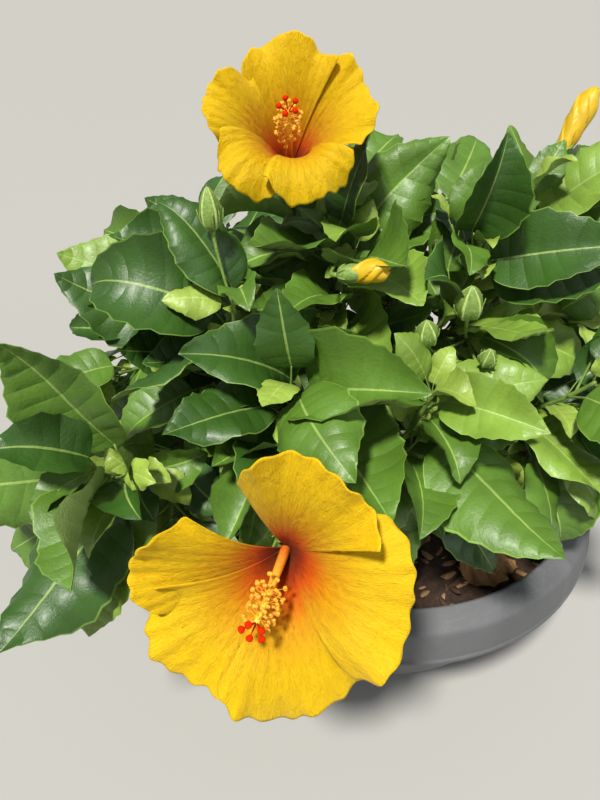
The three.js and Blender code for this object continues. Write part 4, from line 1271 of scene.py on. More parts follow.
def pot_mesh(sides):
    ring, rounds = FOOT_RING, POT_ROUNDS
    lip_bottom = POT.height - POT.crease_drop - POT.band_height
    lip_top = lip_bottom + POT.lip_height
    outside = [(*p, 0) for p in bowl_line(0, BOWL_POINTS.outside)]
    inside = [(*p, 0) for p in bowl_line(POT.wall, BOWL_POINTS.inside)[::-1]]
    corners = [
        (1, 0, 0), (POT.base_radius - ring.inner, 0, 0),
        (POT.base_radius - ring.crest, ring.height, ring.round),
        (POT.base_radius - ring.outer, 0, ring.round),
        (POT.base_radius - POT.foot_round, 0, rounds.foot), *outside,
        (POT.crease_radius - POT.wall, POT.neck_height + POT.edge_round, rounds.neck),
        (POT.lip_radius - POT.wall, lip_bottom, rounds.under_lip),
        (POT.lip_radius, lip_bottom, rounds.lip_foot), (POT.lip_radius, lip_top, rounds.lip_edge),
        (POT.lip_radius - POT.lip_step, lip_top + POT.lip_step, rounds.lip_top),
        (POT.crease_radius, POT.height - POT.crease_drop, rounds.crease),
        (POT.opening_radius + POT.edge_round, POT.height, rounds.rim),
        (POT.opening_radius, POT.height - POT.edge_round, rounds.rim_inside), *inside,
        (POT.base_radius - POT.floor_round, POT.floor, rounds.floor), (1, POT.floor, 0),
    ]
    skin = Skin()
    add_turned(skin, rounded(corners), UP, np.zeros(3), sides)
    return skin.mesh("pot_shell")


def soil_heights(radius, turn):
    """The soil's top: domed, with clods and hollows."""
    draws = Draws(CLODS.seed)
    x, y = radius * np.cos(turn), radius * np.sin(turn)
    height = np.zeros_like(x)
    for _ in range(CLODS.waves):
        size = CLODS.smallest + CLODS.spread * draws()
        aim, phase = draws() * FULL_TURN, draws() * FULL_TURN
        height += size**0.5 * np.sin((x * math.cos(aim) + y * math.sin(aim))
                                     * FULL_TURN / size + phase)
    dome = SOIL.dome * (1 - (radius / POT.opening_radius) ** 2)
    return SOIL.edge_height + dome + height * CLODS.height


def soil_mesh():
    wall = [p for p in bowl_line(POT.wall + CLEARANCE, BOWL_POINTS.soil)
            if p[1] < SOIL.edge_height - BED.wall_drop]
    edge = POT.opening_radius - CLEARANCE - BED.edge_gap
    profile = [(1, POT.floor + CLEARANCE),
               (POT.base_radius - POT.floor_round, POT.floor + BED.floor_lift), *wall,
               *((edge * share, 0) for share in np.linspace(1, BED.centre_share, BED.rings))]
    first_top = len(profile) - BED.rings

    def lay(radius, height, turn):
        height = height.copy()
        height[first_top:] = soil_heights(radius[first_top:], turn)
        return radius, height

    skin = Skin()
    add_turned(skin, profile, UP, np.zeros(3), BED.sides, lay,
               ends=(POT.floor + CLEARANCE, SOIL.edge_height + SOIL.dome))
    return skin.mesh("soil_bed")


def strewn_ground():
    """The soil's top as an open sheet, for strewing things on."""
    sides, rings = STREWN.sides, STREWN.rings
    turn = np.arange(sides) * FULL_TURN / sides
    radius = np.linspace(STREWN.least_radius, POT.opening_radius - STREWN.edge_gap, rings)
    radius = radius[:, None] * np.ones(sides)
    height = soil_heights(radius, turn[None, :])
    points = np.stack([radius * np.cos(turn), radius * np.sin(turn), height], -1).reshape(-1, 3)
    skin = Skin()
    skin.add(points, [ring_faces(rings, sides)[0][:, [0, 3, 2, 1]] - 1])
    return skin.mesh("strewn_ground")


def chip_mesh(name, length, width, thickness, seed):
    """A splinter of bark: a flat piece with torn ends."""
    draws, skin = Draws(seed), Skin()
    upper, lower = CHIP.chamfers
    rows = []
    for share in CHIP.shares:
        narrow = 1 - CHIP.taper * abs(share) ** 3
        beside = width / 2 * narrow * (CHIP.least_width + CHIP.width_spread * draws())
        above = thickness / 2 * (CHIP.least_height + CHIP.height_spread * draws())
        x, y = length / 2 * share, width * CHIP.drift * draws.swing()
        rows.append([(x, y + beside, -above),
                     (x + draws() * CHIP.ragged, y + beside * upper, above),
                     (x + draws() * CHIP.ragged, y - beside * lower, above),
                     (x, y - beside, -above)])
    rows = np.array(rows)
    end = vector((CHIP.end, 0, 0))
    skin.add_rings(rows[0].mean(0) - end, rows, rows[-1].mean(0) + end)
    return skin.mesh(name)


# Trunk, boughs and shoots
COLLAR = Group(reach=1.6, knot=0.05, knot_turns=0.31, knot_power=8, least_rings=4)
SCAR = Group(height=0.09, turns=47, power=12, ridge=0.03, ridges=2, ridge_twist=20)
SHOOT_TUBES = Group(stalk=(40, 8), stem=(26, 9), twig=(18, 7), sprig=(8, 5), overlap=0.02)
OLD_SHOOT, GREEN_SHOOT = range(2)


def limb_rail(limb, last, spacing, flare):
    shares = np.linspace(0, last, max(int(limb.length * last / spacing), COLLAR.least_rings) + 1)
    gone = shares * limb.length
    radii = np.array([limb.radius_at(share) for share in shares])
    collar = flare * np.exp(-gone / (radii[0] * COLLAR.reach))
    knots = 1 + COLLAR.knot * np.sin(gone * COLLAR.knot_turns) ** COLLAR.knot_power
    return limb.point(shares), radii * (1 + collar) * knots


def woody_limbs():
    return {name: LIMBS[name] for name in ("trunk", *(plan.name for plan in BRANCHES))}


def scarred(share, turn, radius):
    """Rings where leaves stood, and a faint ridge down the stem."""
    scars = SCAR.height * np.sin(share * SCAR.turns) ** SCAR.power
    ridge = SCAR.ridge * np.cos(turn * SCAR.ridges + share * SCAR.ridge_twist)
    return radius * (1 + scars + ridge)


def stems_skin(masses):
    skin, tubes = Skin(), SHOOT_TUBES
    for bloom in (*BLOOMS, ROLLED_BLOOM):
        add_tube(skin, LIMBS[bloom.name], 0, 1, *tubes.stalk, scarred, look=GREEN_SHOOT)
    for mass in masses:
        add_tube(skin, mass.stem, mass.first - tubes.overlap, 1, *tubes.stem, scarred,
                 look=OLD_SHOOT)
        for shoot in mass.twigs:
            add_tube(skin, shoot, 0, 1, *tubes.twig, scarred, look=GREEN_SHOOT)
        for shoot in mass.sprigs:
            add_tube(skin, shoot, 0, 1, *tubes.sprig, look=GREEN_SHOOT)
    return skin


# Flowers
PETAL = Group(rows=48, columns=57, foot_breadth=0.9, outline=0.2, outline_power=2.4, edge=0.035,
              edge_waves=4.3, edge_power=4, nick=0.012, nick_waves=24.7, nick_power=8,
              ruffle_waves=7, ruffle_middle=0.35, ruffle_power=4, crimp=1.4, crimp_waves=19,
              crimp_power=7, crimp_drift=1.6, crimp_drift_waves=5, pleat=0.55, pleats=31,
              pleat_drift=2, pleat_drift_waves=3, billow=3.6, billow_waves=3.2, fold_power=1.5,
              lap=4.2, lap_power=0.6, roll_power=5, thickness=0.7)
# A spent flower, closed again, among the leaves of the centre, on its own stalk
SPENT_BLOOM = Group(mass="centre", throat=(-57, -127, 449), axis=(0.9, -0.2, 0.2), length=26,
                    petal_radius=8, calyx_length=16, calyx_radius=6.5, stalk_below=8,
                    stalk_bend=14, stalk_radius=1.2, stalk_swell=0.8, stalk_power=4,
                    stalk_rings=14, stalk_sides=7)
COLUMN = Group(foot_swell=1.45, tip_swell=1.2, bend=0.5, rings=44, sides=12)
ANTHER = Group(thread=((0.25, 0), (0.2, 8.2)), thread_ends=(-0.6, 8.4), thread_sides=4,
               lobe=((0.95, 8.0), (1.25, 9.0), (0.9, 9.9)), lobe_ends=(7.5, 10.3), lobe_sides=5,
               lobes_apart=0.55)
STIGMA = Group(root_share=0.985, spread=0.95, sides=12, ends=(-0.5, 10.8),
               profile=((0.5, 0.5), (0.42, 6.8), (1.2, 7.4), (1.95, 8.3), (2.1, 9.5),
                        (1.4, 10.4)))


def flower_axes(plan):
    axis = unit(vector(plan.axis))
    first = perpendicular(axis)
    return Group(throat=vector(plan.throat), axis=axis, first=first,
                 second=np.cross(axis, first))


def petal_height(petal, ruffle, phases, u, v):
    """How far a petal's ruffles, crimps, pleats and billows stand off its funnel."""
    form = PETAL
    wave = (ruffle * (form.ruffle_middle + np.abs(v)) * u**form.ruffle_power
            * np.sin(form.ruffle_waves * v + phases[1]))
    crimped = (form.crimp_waves * v + phases[2]
               + form.crimp_drift * np.sin(form.crimp_drift_waves * v + phases[0]))
    pleated = (form.pleats * v
               + form.pleat_drift * np.sin(form.pleat_drift_waves * v + phases[1]))
    wave = wave + form.crimp * u**form.crimp_power * np.sin(crimped)
    wave = wave + form.pleat * u**form.fold_power * np.sin(pleated)
    wave = wave + form.billow * u**form.fold_power * np.sin(form.billow_waves * v + phases[3])
    lap = -form.lap * v * u**form.lap_power
    return wave + lap - petal.roll * u**form.roll_power


def petal_points(bloom, petal, ruffle):
    """One petal of the funnel, under its neighbour on one side and over it on the other."""
    axes = flower_axes(bloom)
    draws = Draws(int(petal.aim * 7 + bloom.petal_radius))
    form = PETAL
    u = np.linspace(0, 1, form.rows)[:, None]
    v = np.linspace(-1, 1, form.columns)[None, :]
    angle = math.radians(petal.aim) + v * math.radians(petal.half) * mix(form.foot_breadth, 1, u)
    phases = [draws() * FULL_TURN for _ in range(4)]
    outline = 1 - form.outline * np.abs(v) ** form.outline_power
    uneven = form.edge * np.sin(form.edge_waves * v + phases[0]) * u**form.edge_power
    share = u * outline + uneven + form.nick * u**form.nick_power * np.sin(form.nick_waves * v)
    radius = mix(FLOWER.tube_radius, bloom.petal_radius * petal.size, share)
    funnel = bloom.depth * (1 - np.clip(1 - share, 0, 1) ** petal.flare)
    height = funnel + petal_height(petal, ruffle, phases, u, v)
    points = (axes.throat + axes.axis * height[..., None]
              + axes.first * (radius * np.cos(angle))[..., None]
              + axes.second * (radius * np.sin(angle))[..., None])
    return points, np.stack(np.broadcast_arrays(v / 2 + 0.5, u), -1)


def petals_skin(bloom, ruffle):
    """The petals as open sheets, with their places as a UV map."""
    skin = Skin()
    i, j = np.meshgrid(np.arange(PETAL.rows - 1), np.arange(PETAL.columns - 1), indexing="ij")
    a = (i * PETAL.columns + j).ravel()
    b = a + PETAL.columns
    for petal in bloom.petals:
        points, places = petal_points(bloom, petal, ruffle)
        skin.add(points.reshape(-1, 3), [np.stack([a, b, b + 1, a + 1], 1)],
                 uv=places.reshape(-1, 2))
    return skin


def thicken(piece, thickness):
    """A modifier that gives a sheet its two faces and its edge."""
    solidify = piece.modifiers.new("thickness", "SOLIDIFY")
    solidify.thickness = thickness * MM
    solidify.offset = 0


def column_limb(bloom):
    axes = flower_axes(bloom)
    start = axes.throat - axes.axis * FLOWER.column_sink
    end = axes.throat + vector(bloom.stigma)
    bend = axes.throat + axes.axis * np.linalg.norm(start - end) * COLUMN.bend
    return Limb(start, bend, end, linear(FLOWER.column_radius * COLUMN.foot_swell,
                                         FLOWER.column_tip * COLUMN.tip_swell))


def anther_mesh():
    """A stamen: a thin thread and a kidney of two lobes at its end."""
    skin = Skin()
    ahead = vector((1, 0, 0))
    add_turned(skin, ANTHER.thread, ahead, np.zeros(3), ANTHER.thread_sides,
               ends=ANTHER.thread_ends)
    for side in (-1, 1):
        add_turned(skin, ANTHER.lobe, ahead, vector((0, ANTHER.lobes_apart * side, 0)),
                   ANTHER.lobe_sides, ends=ANTHER.lobe_ends)
    return skin.mesh("anther")


def add_stigmas(skin, column):
    """Five pads on short stalks round the tip of a column."""
    tipward, foot = column.tangent(1), column.point(STIGMA.root_share)
    for k in range(FLOWER.petals):
        outwards = around(tipward, k * FULL_TURN / FLOWER.petals)
        heading = unit(outwards * STIGMA.spread + tipward)
        add_turned(skin, STIGMA.profile, heading, foot, STIGMA.sides, ends=STIGMA.ends)


# A calyx's profile and a bud's are in shares of the radius and the length
CALYX = Group(profile=((0.42, 0.0), (0.62, 0.06), (0.85, 0.25), (1.0, 0.55), (0.98, 0.8),
                       (0.92, 1.0), (0.84, 0.99), (0.72, 0.8)), lobes=5, lobe=0.2,
              lobe_power=0.7, crest=1.6, notch=0.9, lobe_onset=4, swell=0.05, sides=40,
              floor=-0.5, ceiling=0.7, overlap=3, bract_reach=0.22)
CALYX_BRACTS = Group(count=7, turn_spread=0.15, foot=0.35, lift=0.4, out=0.9, rise=0.45,
                     lean=0.25, lean_spread=0.2, tip_reach=0.26, radius=1.0, taper=0.75,
                     rings=7, sides=6)


def scaled(profile, radius, length):
    return [(r * radius, h * length) for r, h in profile]


def add_bracts(skin, axis, foot, radius, length, reach, plan, draws):
    """Slim bracts round a foot: each stands out by its reach and then turns up the axis."""
    for k in range(plan.count):
        outward = around(axis, k * FULL_TURN / plan.count + draws.swing() * plan.turn_spread)
        start = foot + outward * radius * plan.foot + axis * plan.lift
        middle = start + (outward * plan.out + axis * plan.rise) * reach
        tipward = outward * (plan.lean + plan.lean_spread * draws()) + axis
        bract = Limb(start, middle, middle + tipward * length * plan.tip_reach,
                     lambda t: plan.radius - plan.taper * t**2)
        add_tube(skin, bract, 0, 1, plan.rings, plan.sides)


def add_calyx(skin, axis, foot, length, radius, draws):
    """A green cup of five pointed lobes, with bracts about its foot."""
    def lobes(radii, heights, turn):
        crest = np.abs(np.cos(CALYX.lobes / 2 * turn)) ** CALYX.lobe_power
        share = np.clip(heights / length, 0, 1)
        lift = length * CALYX.lobe * (crest * CALYX.crest - CALYX.notch)
        return (radii * (1 + CALYX.swell * crest * share),
                heights + lift * share**CALYX.lobe_onset)

    add_turned(skin, scaled(CALYX.profile, radius, length), axis, foot, CALYX.sides, lobes,
               ends=(CALYX.floor, length * CALYX.ceiling))
    add_bracts(skin, axis, foot, radius, length, length * CALYX.bract_reach, CALYX_BRACTS, draws)


# A drawn bud is plumper than the solid's, and its stalk and axis turn up to the light
BUD_LOOK = Group(profile=((0.5, 0.0), (0.84, 0.1), (0.98, 0.26), (1.0, 0.42), (0.9, 0.58),
                          (0.7, 0.74), (0.46, 0.87), (0.2, 0.97)), steps=2, foot=-0.6,
                 stalk_lift=0.5, stalk_bend=0.3, stalk_foot=0.9, stalk_swell=0.6, stalk_power=4,
                 stalk_rings=12, stalk_sides=7, lean=0.35, length=1.25, radius=1.35, rib=0.2,
                 rib_power=6, rib_middle=0.3, ribs=5, rib_strips=2, sides=60, seed=21,
                 shoots_from=0.2, shoot_points=20)
BUD_BRACTS = Group(count=8, turn_spread=0.3, foot=0.3, lift=0, out=0.9, rise=0.5, lean=-0.08,
                   lean_spread=0.2, tip_reach=0.36, radius=1.0, taper=0.7, rings=7, sides=5)
BUD_SIDE, BUD_RIB = range(2)
# The buds that stand clear of the leaves: each one's mass, foot, length and radius
CLEAR_BUDS = (Group(mass="right_front", foot=(28, -124, 415), length=21, radius=6.8),
              Group(mass="right_front", foot=(0, -135, 400), length=17, radius=5.6),
              Group(mass="right_front", foot=(43, -138, 384), length=13, radius=4.4),
              Group(mass="left_middle", foot=(-150, -99, 469), length=23, radius=5.4))


def nearest_shoot_point(mass, place):
    """The point of a mass's stem and twigs that lies nearest to a place."""
    shares = np.linspace(BUD_LOOK.shoots_from, 1, BUD_LOOK.shoot_points)
    points = np.vstack([shoot.point(shares) for shoot in (mass.stem, *mass.twigs)])
    return points[np.argmin(np.linalg.norm(points - place, axis=1))]


def drawn_buds(mass):
    """The mass's buds. Its first one gives way to those that stand clear, where it has such."""
    clear = [bud for bud in CLEAR_BUDS if bud.mass == mass.name]
    buds = [bud_of(bud.start, unit(bud.heading + UP * BUD_LOOK.stalk_lift), bud.stalk, bud.length,
                   bud.radius) for bud in mass.buds[1 if clear else 0:]]
    for plan in clear:
        start = nearest_shoot_point(mass, vector(plan.foot))
        reach = vector(plan.foot) - start
        buds.append(bud_of(start, unit(reach), np.linalg.norm(reach), plan.length, plan.radius))
    return buds


def add_bud(skin, bud, draws):
    look = BUD_LOOK
    heading = unit(bud.heading * look.lean + UP)
    length, radius = bud.length * look.length, bud.radius * look.radius
    foot = bud.start + bud.heading * bud.stalk

    def stalk_radius(share):
        return BUD.stalk_radius * (look.stalk_foot + look.stalk_swell * share**look.stalk_power)

    def ribbed(radii, heights, turn):
        crest = np.abs(np.cos(turn * look.ribs / 2)) ** look.rib_power
        return radii * (1 + look.rib * (crest - look.rib_middle)), heights

    stalk = Limb(bud.start, foot - heading * bud.stalk * look.stalk_bend, foot, stalk_radius)
    add_tube(skin, stalk, 0, 1, look.stalk_rings, look.stalk_sides)
    profile = smooth_profile(scaled(look.profile, radius, length), look.steps)
    from_rib = (np.arange(look.sides) + 1) % (look.sides // look.ribs)
    looks = np.where(from_rib < look.rib_strips, BUD_RIB, BUD_SIDE)
    add_turned(skin, profile, heading, foot, look.sides, ribbed, looks, (look.foot, length))
    add_bracts(skin, heading, foot, radius, length, radius, BUD_BRACTS, draws)


ROLLED = Group(profile=((0.62, -0.07), (0.7, 0.05), (0.82, 0.22), (0.94, 0.42), (1.0, 0.6),
                        (0.94, 0.74), (0.76, 0.86), (0.5, 0.95), (0.28, 1.0)), steps=5,
               winding=2.4, lap=0.9, radius=0.97, step=0.16, tip_step=0.14, tip_from=0.6,
               waves=3, wave=1.5, wave_lean=0.2, sides=80, ends=(-0.08, 0.97))


def rolled_skin(plan):
    """Petals rolled round one another, their edges winding up the roll."""
    skin, form, axes = Skin(), ROLLED, flower_axes(plan)
    profile = smooth_profile(scaled(form.profile, plan.petal_radius, plan.length), form.steps)

    def wound(radii, heights, turn):
        share = heights / plan.length
        lapping = (FLOWER.petals * (turn / FULL_TURN) + share * form.winding) % 1
        step = np.clip(lapping / form.lap, 0, 1) - 0.5
        edge = form.step + form.tip_step * np.clip(share - form.tip_from, 0, 1)
        wave = form.wave * np.sin(form.waves * turn + heights * form.wave_lean)
        return radii * (form.radius + edge * step), heights + wave

    add_turned(skin, profile, axes.axis, axes.throat, form.sides, wound,
               ends=(plan.length * form.ends[0], plan.length * form.ends[1]))
    return skin


# Settings
def colour_property(name, description, colour):
    return bpy.props.FloatVectorProperty(name=name, description=description, subtype="COLOR",
                                         size=3, min=0, max=1, default=linear_colour(*colour))


def length_property(name, description, default):
    """A length in metres, from its default in millimetres."""
    return bpy.props.FloatProperty(name=name, description=description, subtype="DISTANCE",
                                   unit="LENGTH", min=0, precision=4, default=default * MM)


class PotSettings(bpy.types.PropertyGroup):
    colour: colour_property("Colour", "Grey of the planter's plastic", (88, 89, 91))
    sides: bpy.props.IntProperty(name="Sides", description="Faces round the planter", min=24,
                                 max=256, default=144)


class SoilSettings(bpy.types.PropertyGroup):
    colour: colour_property("Colour", "Brown of the potting soil", (62, 44, 31))
    dry_leaf: colour_property("Dry Leaf", "Brown of the fallen leaf", (182, 136, 92))
    dark_chip: colour_property("Dark Chips", "Colour of the dark bark chips", (74, 50, 34))
    pale_chip: colour_property("Pale Chips", "Colour of the pale bark chips", (158, 122, 84))
    dark_density: bpy.props.FloatProperty(name="Dark Density", min=0, default=5200,
                                          description="Dark chips on a square metre")
    pale_density: bpy.props.FloatProperty(name="Pale Density", min=0, default=4600,
                                          description="Pale chips on a square metre")
    seed: bpy.props.IntProperty(name="Seed", description="Seed of the strewn chips", default=4)


class WoodSettings(bpy.types.PropertyGroup):
    bark: colour_property("Bark", "Colour of the trunk and boughs", (92, 74, 58))
    stem: colour_property("Stems", "Colour of the young stems", (94, 92, 52))
    shoot: colour_property("Shoots", "Colour of twigs and stalks", (104, 132, 58))
    sides: bpy.props.IntProperty(name="Sides", description="Faces round a bough", min=6,
                                 default=16)
    spacing: length_property("Ring Spacing", "Distance between the rings of a bough", 3)
    furrow_depth: length_property("Furrow Depth", "Depth of the bark's furrows", 1.5)


class LeafSettings(bpy.types.PropertyGroup):
    # Deep is painted shade and Bright is painted sunlight: darker and lighter copies of the leaves'
    # green, dealt to whole sprays at random.
    deep: colour_property("Deep", "Green of the shaded leaves", (48, 82, 24))
    mid: colour_property("Mid", "Green of most leaves", (80, 114, 36))
    bright: colour_property("Bright", "Green of the sunlit leaves", (114, 144, 52))
    young: colour_property("Young", "Green of the young leaves", (134, 158, 64))
    yellowing: colour_property("Yellowing", "Colour of the few yellowing leaves", (178, 178, 62))
    underside: colour_property("Underside", "Paler green under the leaves", (134, 160, 84))
    midrib: colour_property("Midrib", "Pale green of the midribs", (160, 184, 96))
    margin: colour_property("Margin", "Yellow-green of the margins", (140, 174, 74))
    gloss: bpy.props.FloatProperty(name="Roughness", subtype="FACTOR", min=0, max=1,
                                   description="Roughness of the upper side", default=0.41)


class FlowerSettings(bpy.types.PropertyGroup):
    face: colour_property("Petal", "Yellow of the petals", (201, 164, 7))
    # Deep Petal is painted shade: the darker yellow of the shaded inner part of the cup.
    shadowed: colour_property("Deep Petal", "Yellow nearer the throat", (200, 140, 3))
    throat: colour_property("Throat", "Orange about the eye", (204, 74, 3))
    eye: colour_property("Eye", "Red of the eye", (142, 14, 3))
    stigma: colour_property("Stigmas", "Red of the stigma pads", (204, 38, 0))
    anther: colour_property("Anthers", "Yellow of the anthers", (228, 160, 34))
    column_foot: colour_property("Column Foot", "Red of the column's foot", (216, 70, 16))
    column_tip: colour_property("Column Tip", "Yellow of the column's tip", (248, 190, 60))
    sepal: colour_property("Calyx", "Green of the calyces and buds", (118, 146, 66))
    rib: colour_property("Ribs", "Pale green of the buds' ribs", (172, 192, 112))
    ruffle: length_property("Ruffle", "Height of the ruffles of a petal's edge", 6.5)
    anthers: bpy.props.IntProperty(name="Anthers", description="Anthers on each column", min=0,
                                   default=64)


class StageSettings(bpy.types.PropertyGroup):
    floor: colour_property("Floor", "Colour of the floor", (158, 157, 153))
    key_power: bpy.props.FloatProperty(name="Key Light", min=0, default=5.6,
                                       description="Strength of the key light")
    sky: bpy.props.FloatProperty(name="Sky", description="Strength of the pale surroundings",
                                 min=0, default=0.34)


SETTINGS = {"hibiscus_pot": PotSettings, "hibiscus_soil": SoilSettings,
            "hibiscus_wood": WoodSettings, "hibiscus_leaves": LeafSettings,
            "hibiscus_flowers": FlowerSettings, "hibiscus_stage": StageSettings}


def settings_of(context, name):
    """The values of one group of settings, with its colours as tuples."""
    group, values = getattr(context.scene, "hibiscus_" + name), {}
    for part in SETTINGS["hibiscus_" + name].__annotations__:
        value = getattr(group, part)
        values[part] = tuple(value) if hasattr(value, "__len__") else value
    return Group(**values)


# Operators
GROWN = []
CHIPS = Group(dark_size=(17, 7, 2.6), pale_size=(16, 6, 2.2), smallest=0.4, largest=1.15,
              tilt=0.5, shape_seed=30)
FALLEN_LEAF = Group(base=(60, -140, 156), length=60, droop=1.5, heading=(0.85, -0.2, 0.55),
                    facing=(-0.4, -0.45, 0.9), seed=9)
BARK = Group(overlap=0.02, flare=0.4, furrow_scale=420.0, furrow_length=3.2)
# A spray's tone picks its green: the lowest tones take the green of painted shade, the middle ones
# the mid green, and the highest the green of painted sunlight.
LEAF_TONES = Group(seed=7, spread=0.3, age_share=0.25, yellowing=0.008, young_length=46,
                   full_length=72, deep_below=0.42, mid_below=0.95)
LEAF_TINTS = Group(midrib=0.5, margin=0.4, underside=0.8)
LEAF_SKINS = ("leaves_deep", "leaves_mid", "leaves_bright", "leaves_yellowing", "young_leaves")
STAMENS = Group(first=0.64, last=0.98, points=30, lean=0.45, smallest=0.75, largest=1.12, seed=3)


def grown_masses():
    if not GROWN:
        GROWN.extend(grow_crown())
    return GROWN


def foliage_nodes():
    return [f"foliage_{plan.name}" for plan in BRANCHES]


def bough_nodes(plans):
    return [f"bough_{plan.name}" for plan in plans]


def fallen_leaf():
    plan = FALLEN_LEAF
    heading, facing = unit(vector(plan.heading)), unit(vector(plan.facing))
    facing = unit(facing - heading * (facing @ heading))
    leaf = Group(plan=plan, base=vector(plan.base), heading=heading, facing=facing,
                 across=np.cross(facing, heading))
    skin = Skin()
    add_blade(skin, leaf, FULL_BLADE, Draws(plan.seed), DRY_FORM)
    return skin.mesh("fallen_leaf")


def leaf_skins(masses):
    """All blades, each in the skin of its tone. The leaves of one shoot are alike in tone.
    The darkest tone is painted shade and the brightest is painted sunlight.
    """
    skins = {name: Skin() for name in LEAF_SKINS}
    draws, tones = Draws(LEAF_TONES.seed), LEAF_TONES
    for mass in masses:
        sprays = {}
        for leaf in mass.leaves + mass.finer:
            tone = sprays.setdefault(id(leaf.shoot), draws())
            tone += tones.spread * draws.swing() + tones.age_share * leaf.plan.age
            yellowing = draws() < tones.yellowing
            if leaf.plan.length < tones.young_length:
                name = "young_leaves"
            elif yellowing:
                name = "leaves_yellowing"
            # Low tones take the green of painted shade, and high ones take the green of painted
            # sunlight.
            elif tone < tones.deep_below:
                name = "leaves_deep"
            else:
                name = "leaves_mid" if tone < tones.mid_below else "leaves_bright"
            grid = FULL_BLADE if leaf.plan.length > tones.full_length else SMALL_BLADE
            add_blade(skins[name], leaf, grid, draws)
    return skins


def add_spent_calyx(skin, draws):
    plan, axes = SPENT_BLOOM, flower_axes(SPENT_BLOOM)
    foot = axes.throat - axes.axis * plan.stalk_below
    mass = next(mass for mass in grown_masses() if mass.name == plan.mass)
    stalk = Limb(nearest_shoot_point(mass, foot), foot - axes.axis * plan.stalk_bend, foot,
                 lambda t: plan.stalk_radius + plan.stalk_swell * t**plan.stalk_power)
    add_tube(skin, stalk, 0, 1, plan.stalk_rings, plan.stalk_sides)
    add_calyx(skin, axes.axis, foot, plan.calyx_length, plan.calyx_radius, draws)


class HIBISCUS_OT_pot(bpy.types.Operator):
    """Turn the bowl planter with its folded rim"""
    bl_idname = "hibiscus.pot"
    bl_label = "Planter"

    def execute(self, context):
        settings = settings_of(context, "pot")
        place(pot_mesh(settings.sides), [pot_finish(settings.colour)], "pot", ["pot"])
        return {"FINISHED"}


class HIBISCUS_OT_soil(bpy.types.Operator):
    """Fill the planter with soil and strew bark chips over it"""
    bl_idname = "hibiscus.soil"
    bl_label = "Soil and Bark Chips"

    def execute(self, context):
        settings = settings_of(context, "soil")
        place(soil_mesh(), [soil_finish(settings.colour)], "soil", ["soil"])
        tree = scatter_tree()
        for name, size, colour, density, seed in (
                ("bark_chips_dark", CHIPS.dark_size, settings.dark_chip,
                 settings.dark_density, 1),
                ("bark_chips_pale", CHIPS.pale_size, settings.pale_chip,
                 settings.pale_density, 2)):
            chip = scene_object("chip", chip_mesh("chip", *size, seed + CHIPS.shape_seed))
            source = scene_object("ground", strewn_ground())
            values = {"Shape": chip, "Density": density, "Smallest": CHIPS.smallest,
                      "Largest": CHIPS.largest, "Tilt": CHIPS.tilt,
                      "Seed": settings.seed + seed, "Material": chip_finish(name, colour)}
            place(made_by(tree, source, name, values), [], "soil")
            bpy.data.objects.remove(chip)
        dry = leaf_finish("dry_leaf", settings.dry_leaf, roughness=0.7, spread=0.4, coat=0.0,
                          relief=0.0005)
        place(fallen_leaf(), [dry] * 4, "soil")
        return {"FINISHED"}


class HIBISCUS_OT_boughs(bpy.types.Operator):
    """Grow the trunk and boughs with furrowed bark"""
    bl_idname = "hibiscus.boughs"
    bl_label = "Trunk and Boughs"

    def execute(self, context):
        settings = settings_of(context, "wood")
        rails = [limb_rail(limb, min(limb.bare_share + BARK.overlap, 1), settings.spacing / MM,
                           0.0 if name == "trunk" else BARK.flare)
                 for name, limb in woody_limbs().items()]
        values = {"Sides": settings.sides, "Furrow Depth": settings.furrow_depth,
                  "Furrow Scale": BARK.furrow_scale, "Furrow Length": BARK.furrow_length,
                  "Material": bark_finish(settings.bark)}
        source = scene_object("limb_lines", rail_mesh("limb_lines", rails))
        mesh = made_by(bark_tree(), source, "trunk_and_boughs", values)
        place(mesh, [], "bark", ["trunk", *bough_nodes(BRANCHES)])
        return {"FINISHED"}


class HIBISCUS_OT_stems(bpy.types.Operator):
    """Grow the leafy stems, the twigs and the stalks of the leaves"""
    bl_idname = "hibiscus.stems"
    bl_label = "Stems, Twigs and Stalks"

    def execute(self, context):
        settings = settings_of(context, "wood")
        finishes = [stem_finish("leafy_stem", settings.stem, 0.6),
                    stem_finish("green_twig", settings.shoot, 0.35)]
        place(stems_skin(grown_masses()).mesh("young_stems"), finishes, "bark",
              [*bough_nodes(FLOWERS), *foliage_nodes()])
        skin = Skin()
        for mass in grown_masses():
            for leaves, sides in ((mass.leaves, PETIOLE.sides), (mass.finer, PETIOLE.finer_sides)):
                for leaf in leaves:
                    add_petiole(skin, leaf, sides)
        stalk = stem_finish("leaf_stalk", shade(settings.shoot, 1.15), 0.15)
        place(skin.mesh("leaf_stalks"), [stalk], "foliage", foliage_nodes())
        return {"FINISHED"}


class HIBISCUS_OT_leaves(bpy.types.Operator):
    """Unfold the leaves, spray by spray, in their greens"""
    bl_idname = "hibiscus.leaves"
    bl_label = "Leaves"

    def execute(self, context):
        settings = settings_of(context, "leaves")
        # The first green is painted shade and the third is painted sunlight.
        colours = (settings.deep, settings.mid, settings.bright, settings.yellowing,
                   settings.young)
        skins = leaf_skins(grown_masses())
        for (name, skin), own in zip(skins.items(), colours):
            finishes = [
                leaf_finish(name + "_blade", own, settings.gloss),
                leaf_finish(name + "_midrib", mix_colour(own, settings.midrib, LEAF_TINTS.midrib)),
                leaf_finish(name + "_margin", mix_colour(own, settings.margin, LEAF_TINTS.margin)),
                leaf_finish(name + "_underside",
                            mix_colour(own, settings.underside, LEAF_TINTS.underside),
                            roughness=0.62, spread=0.1, coat=0.0, relief=0.0002)]
            place(skin.mesh(name), finishes, "foliage", foliage_nodes())
        return {"FINISHED"}


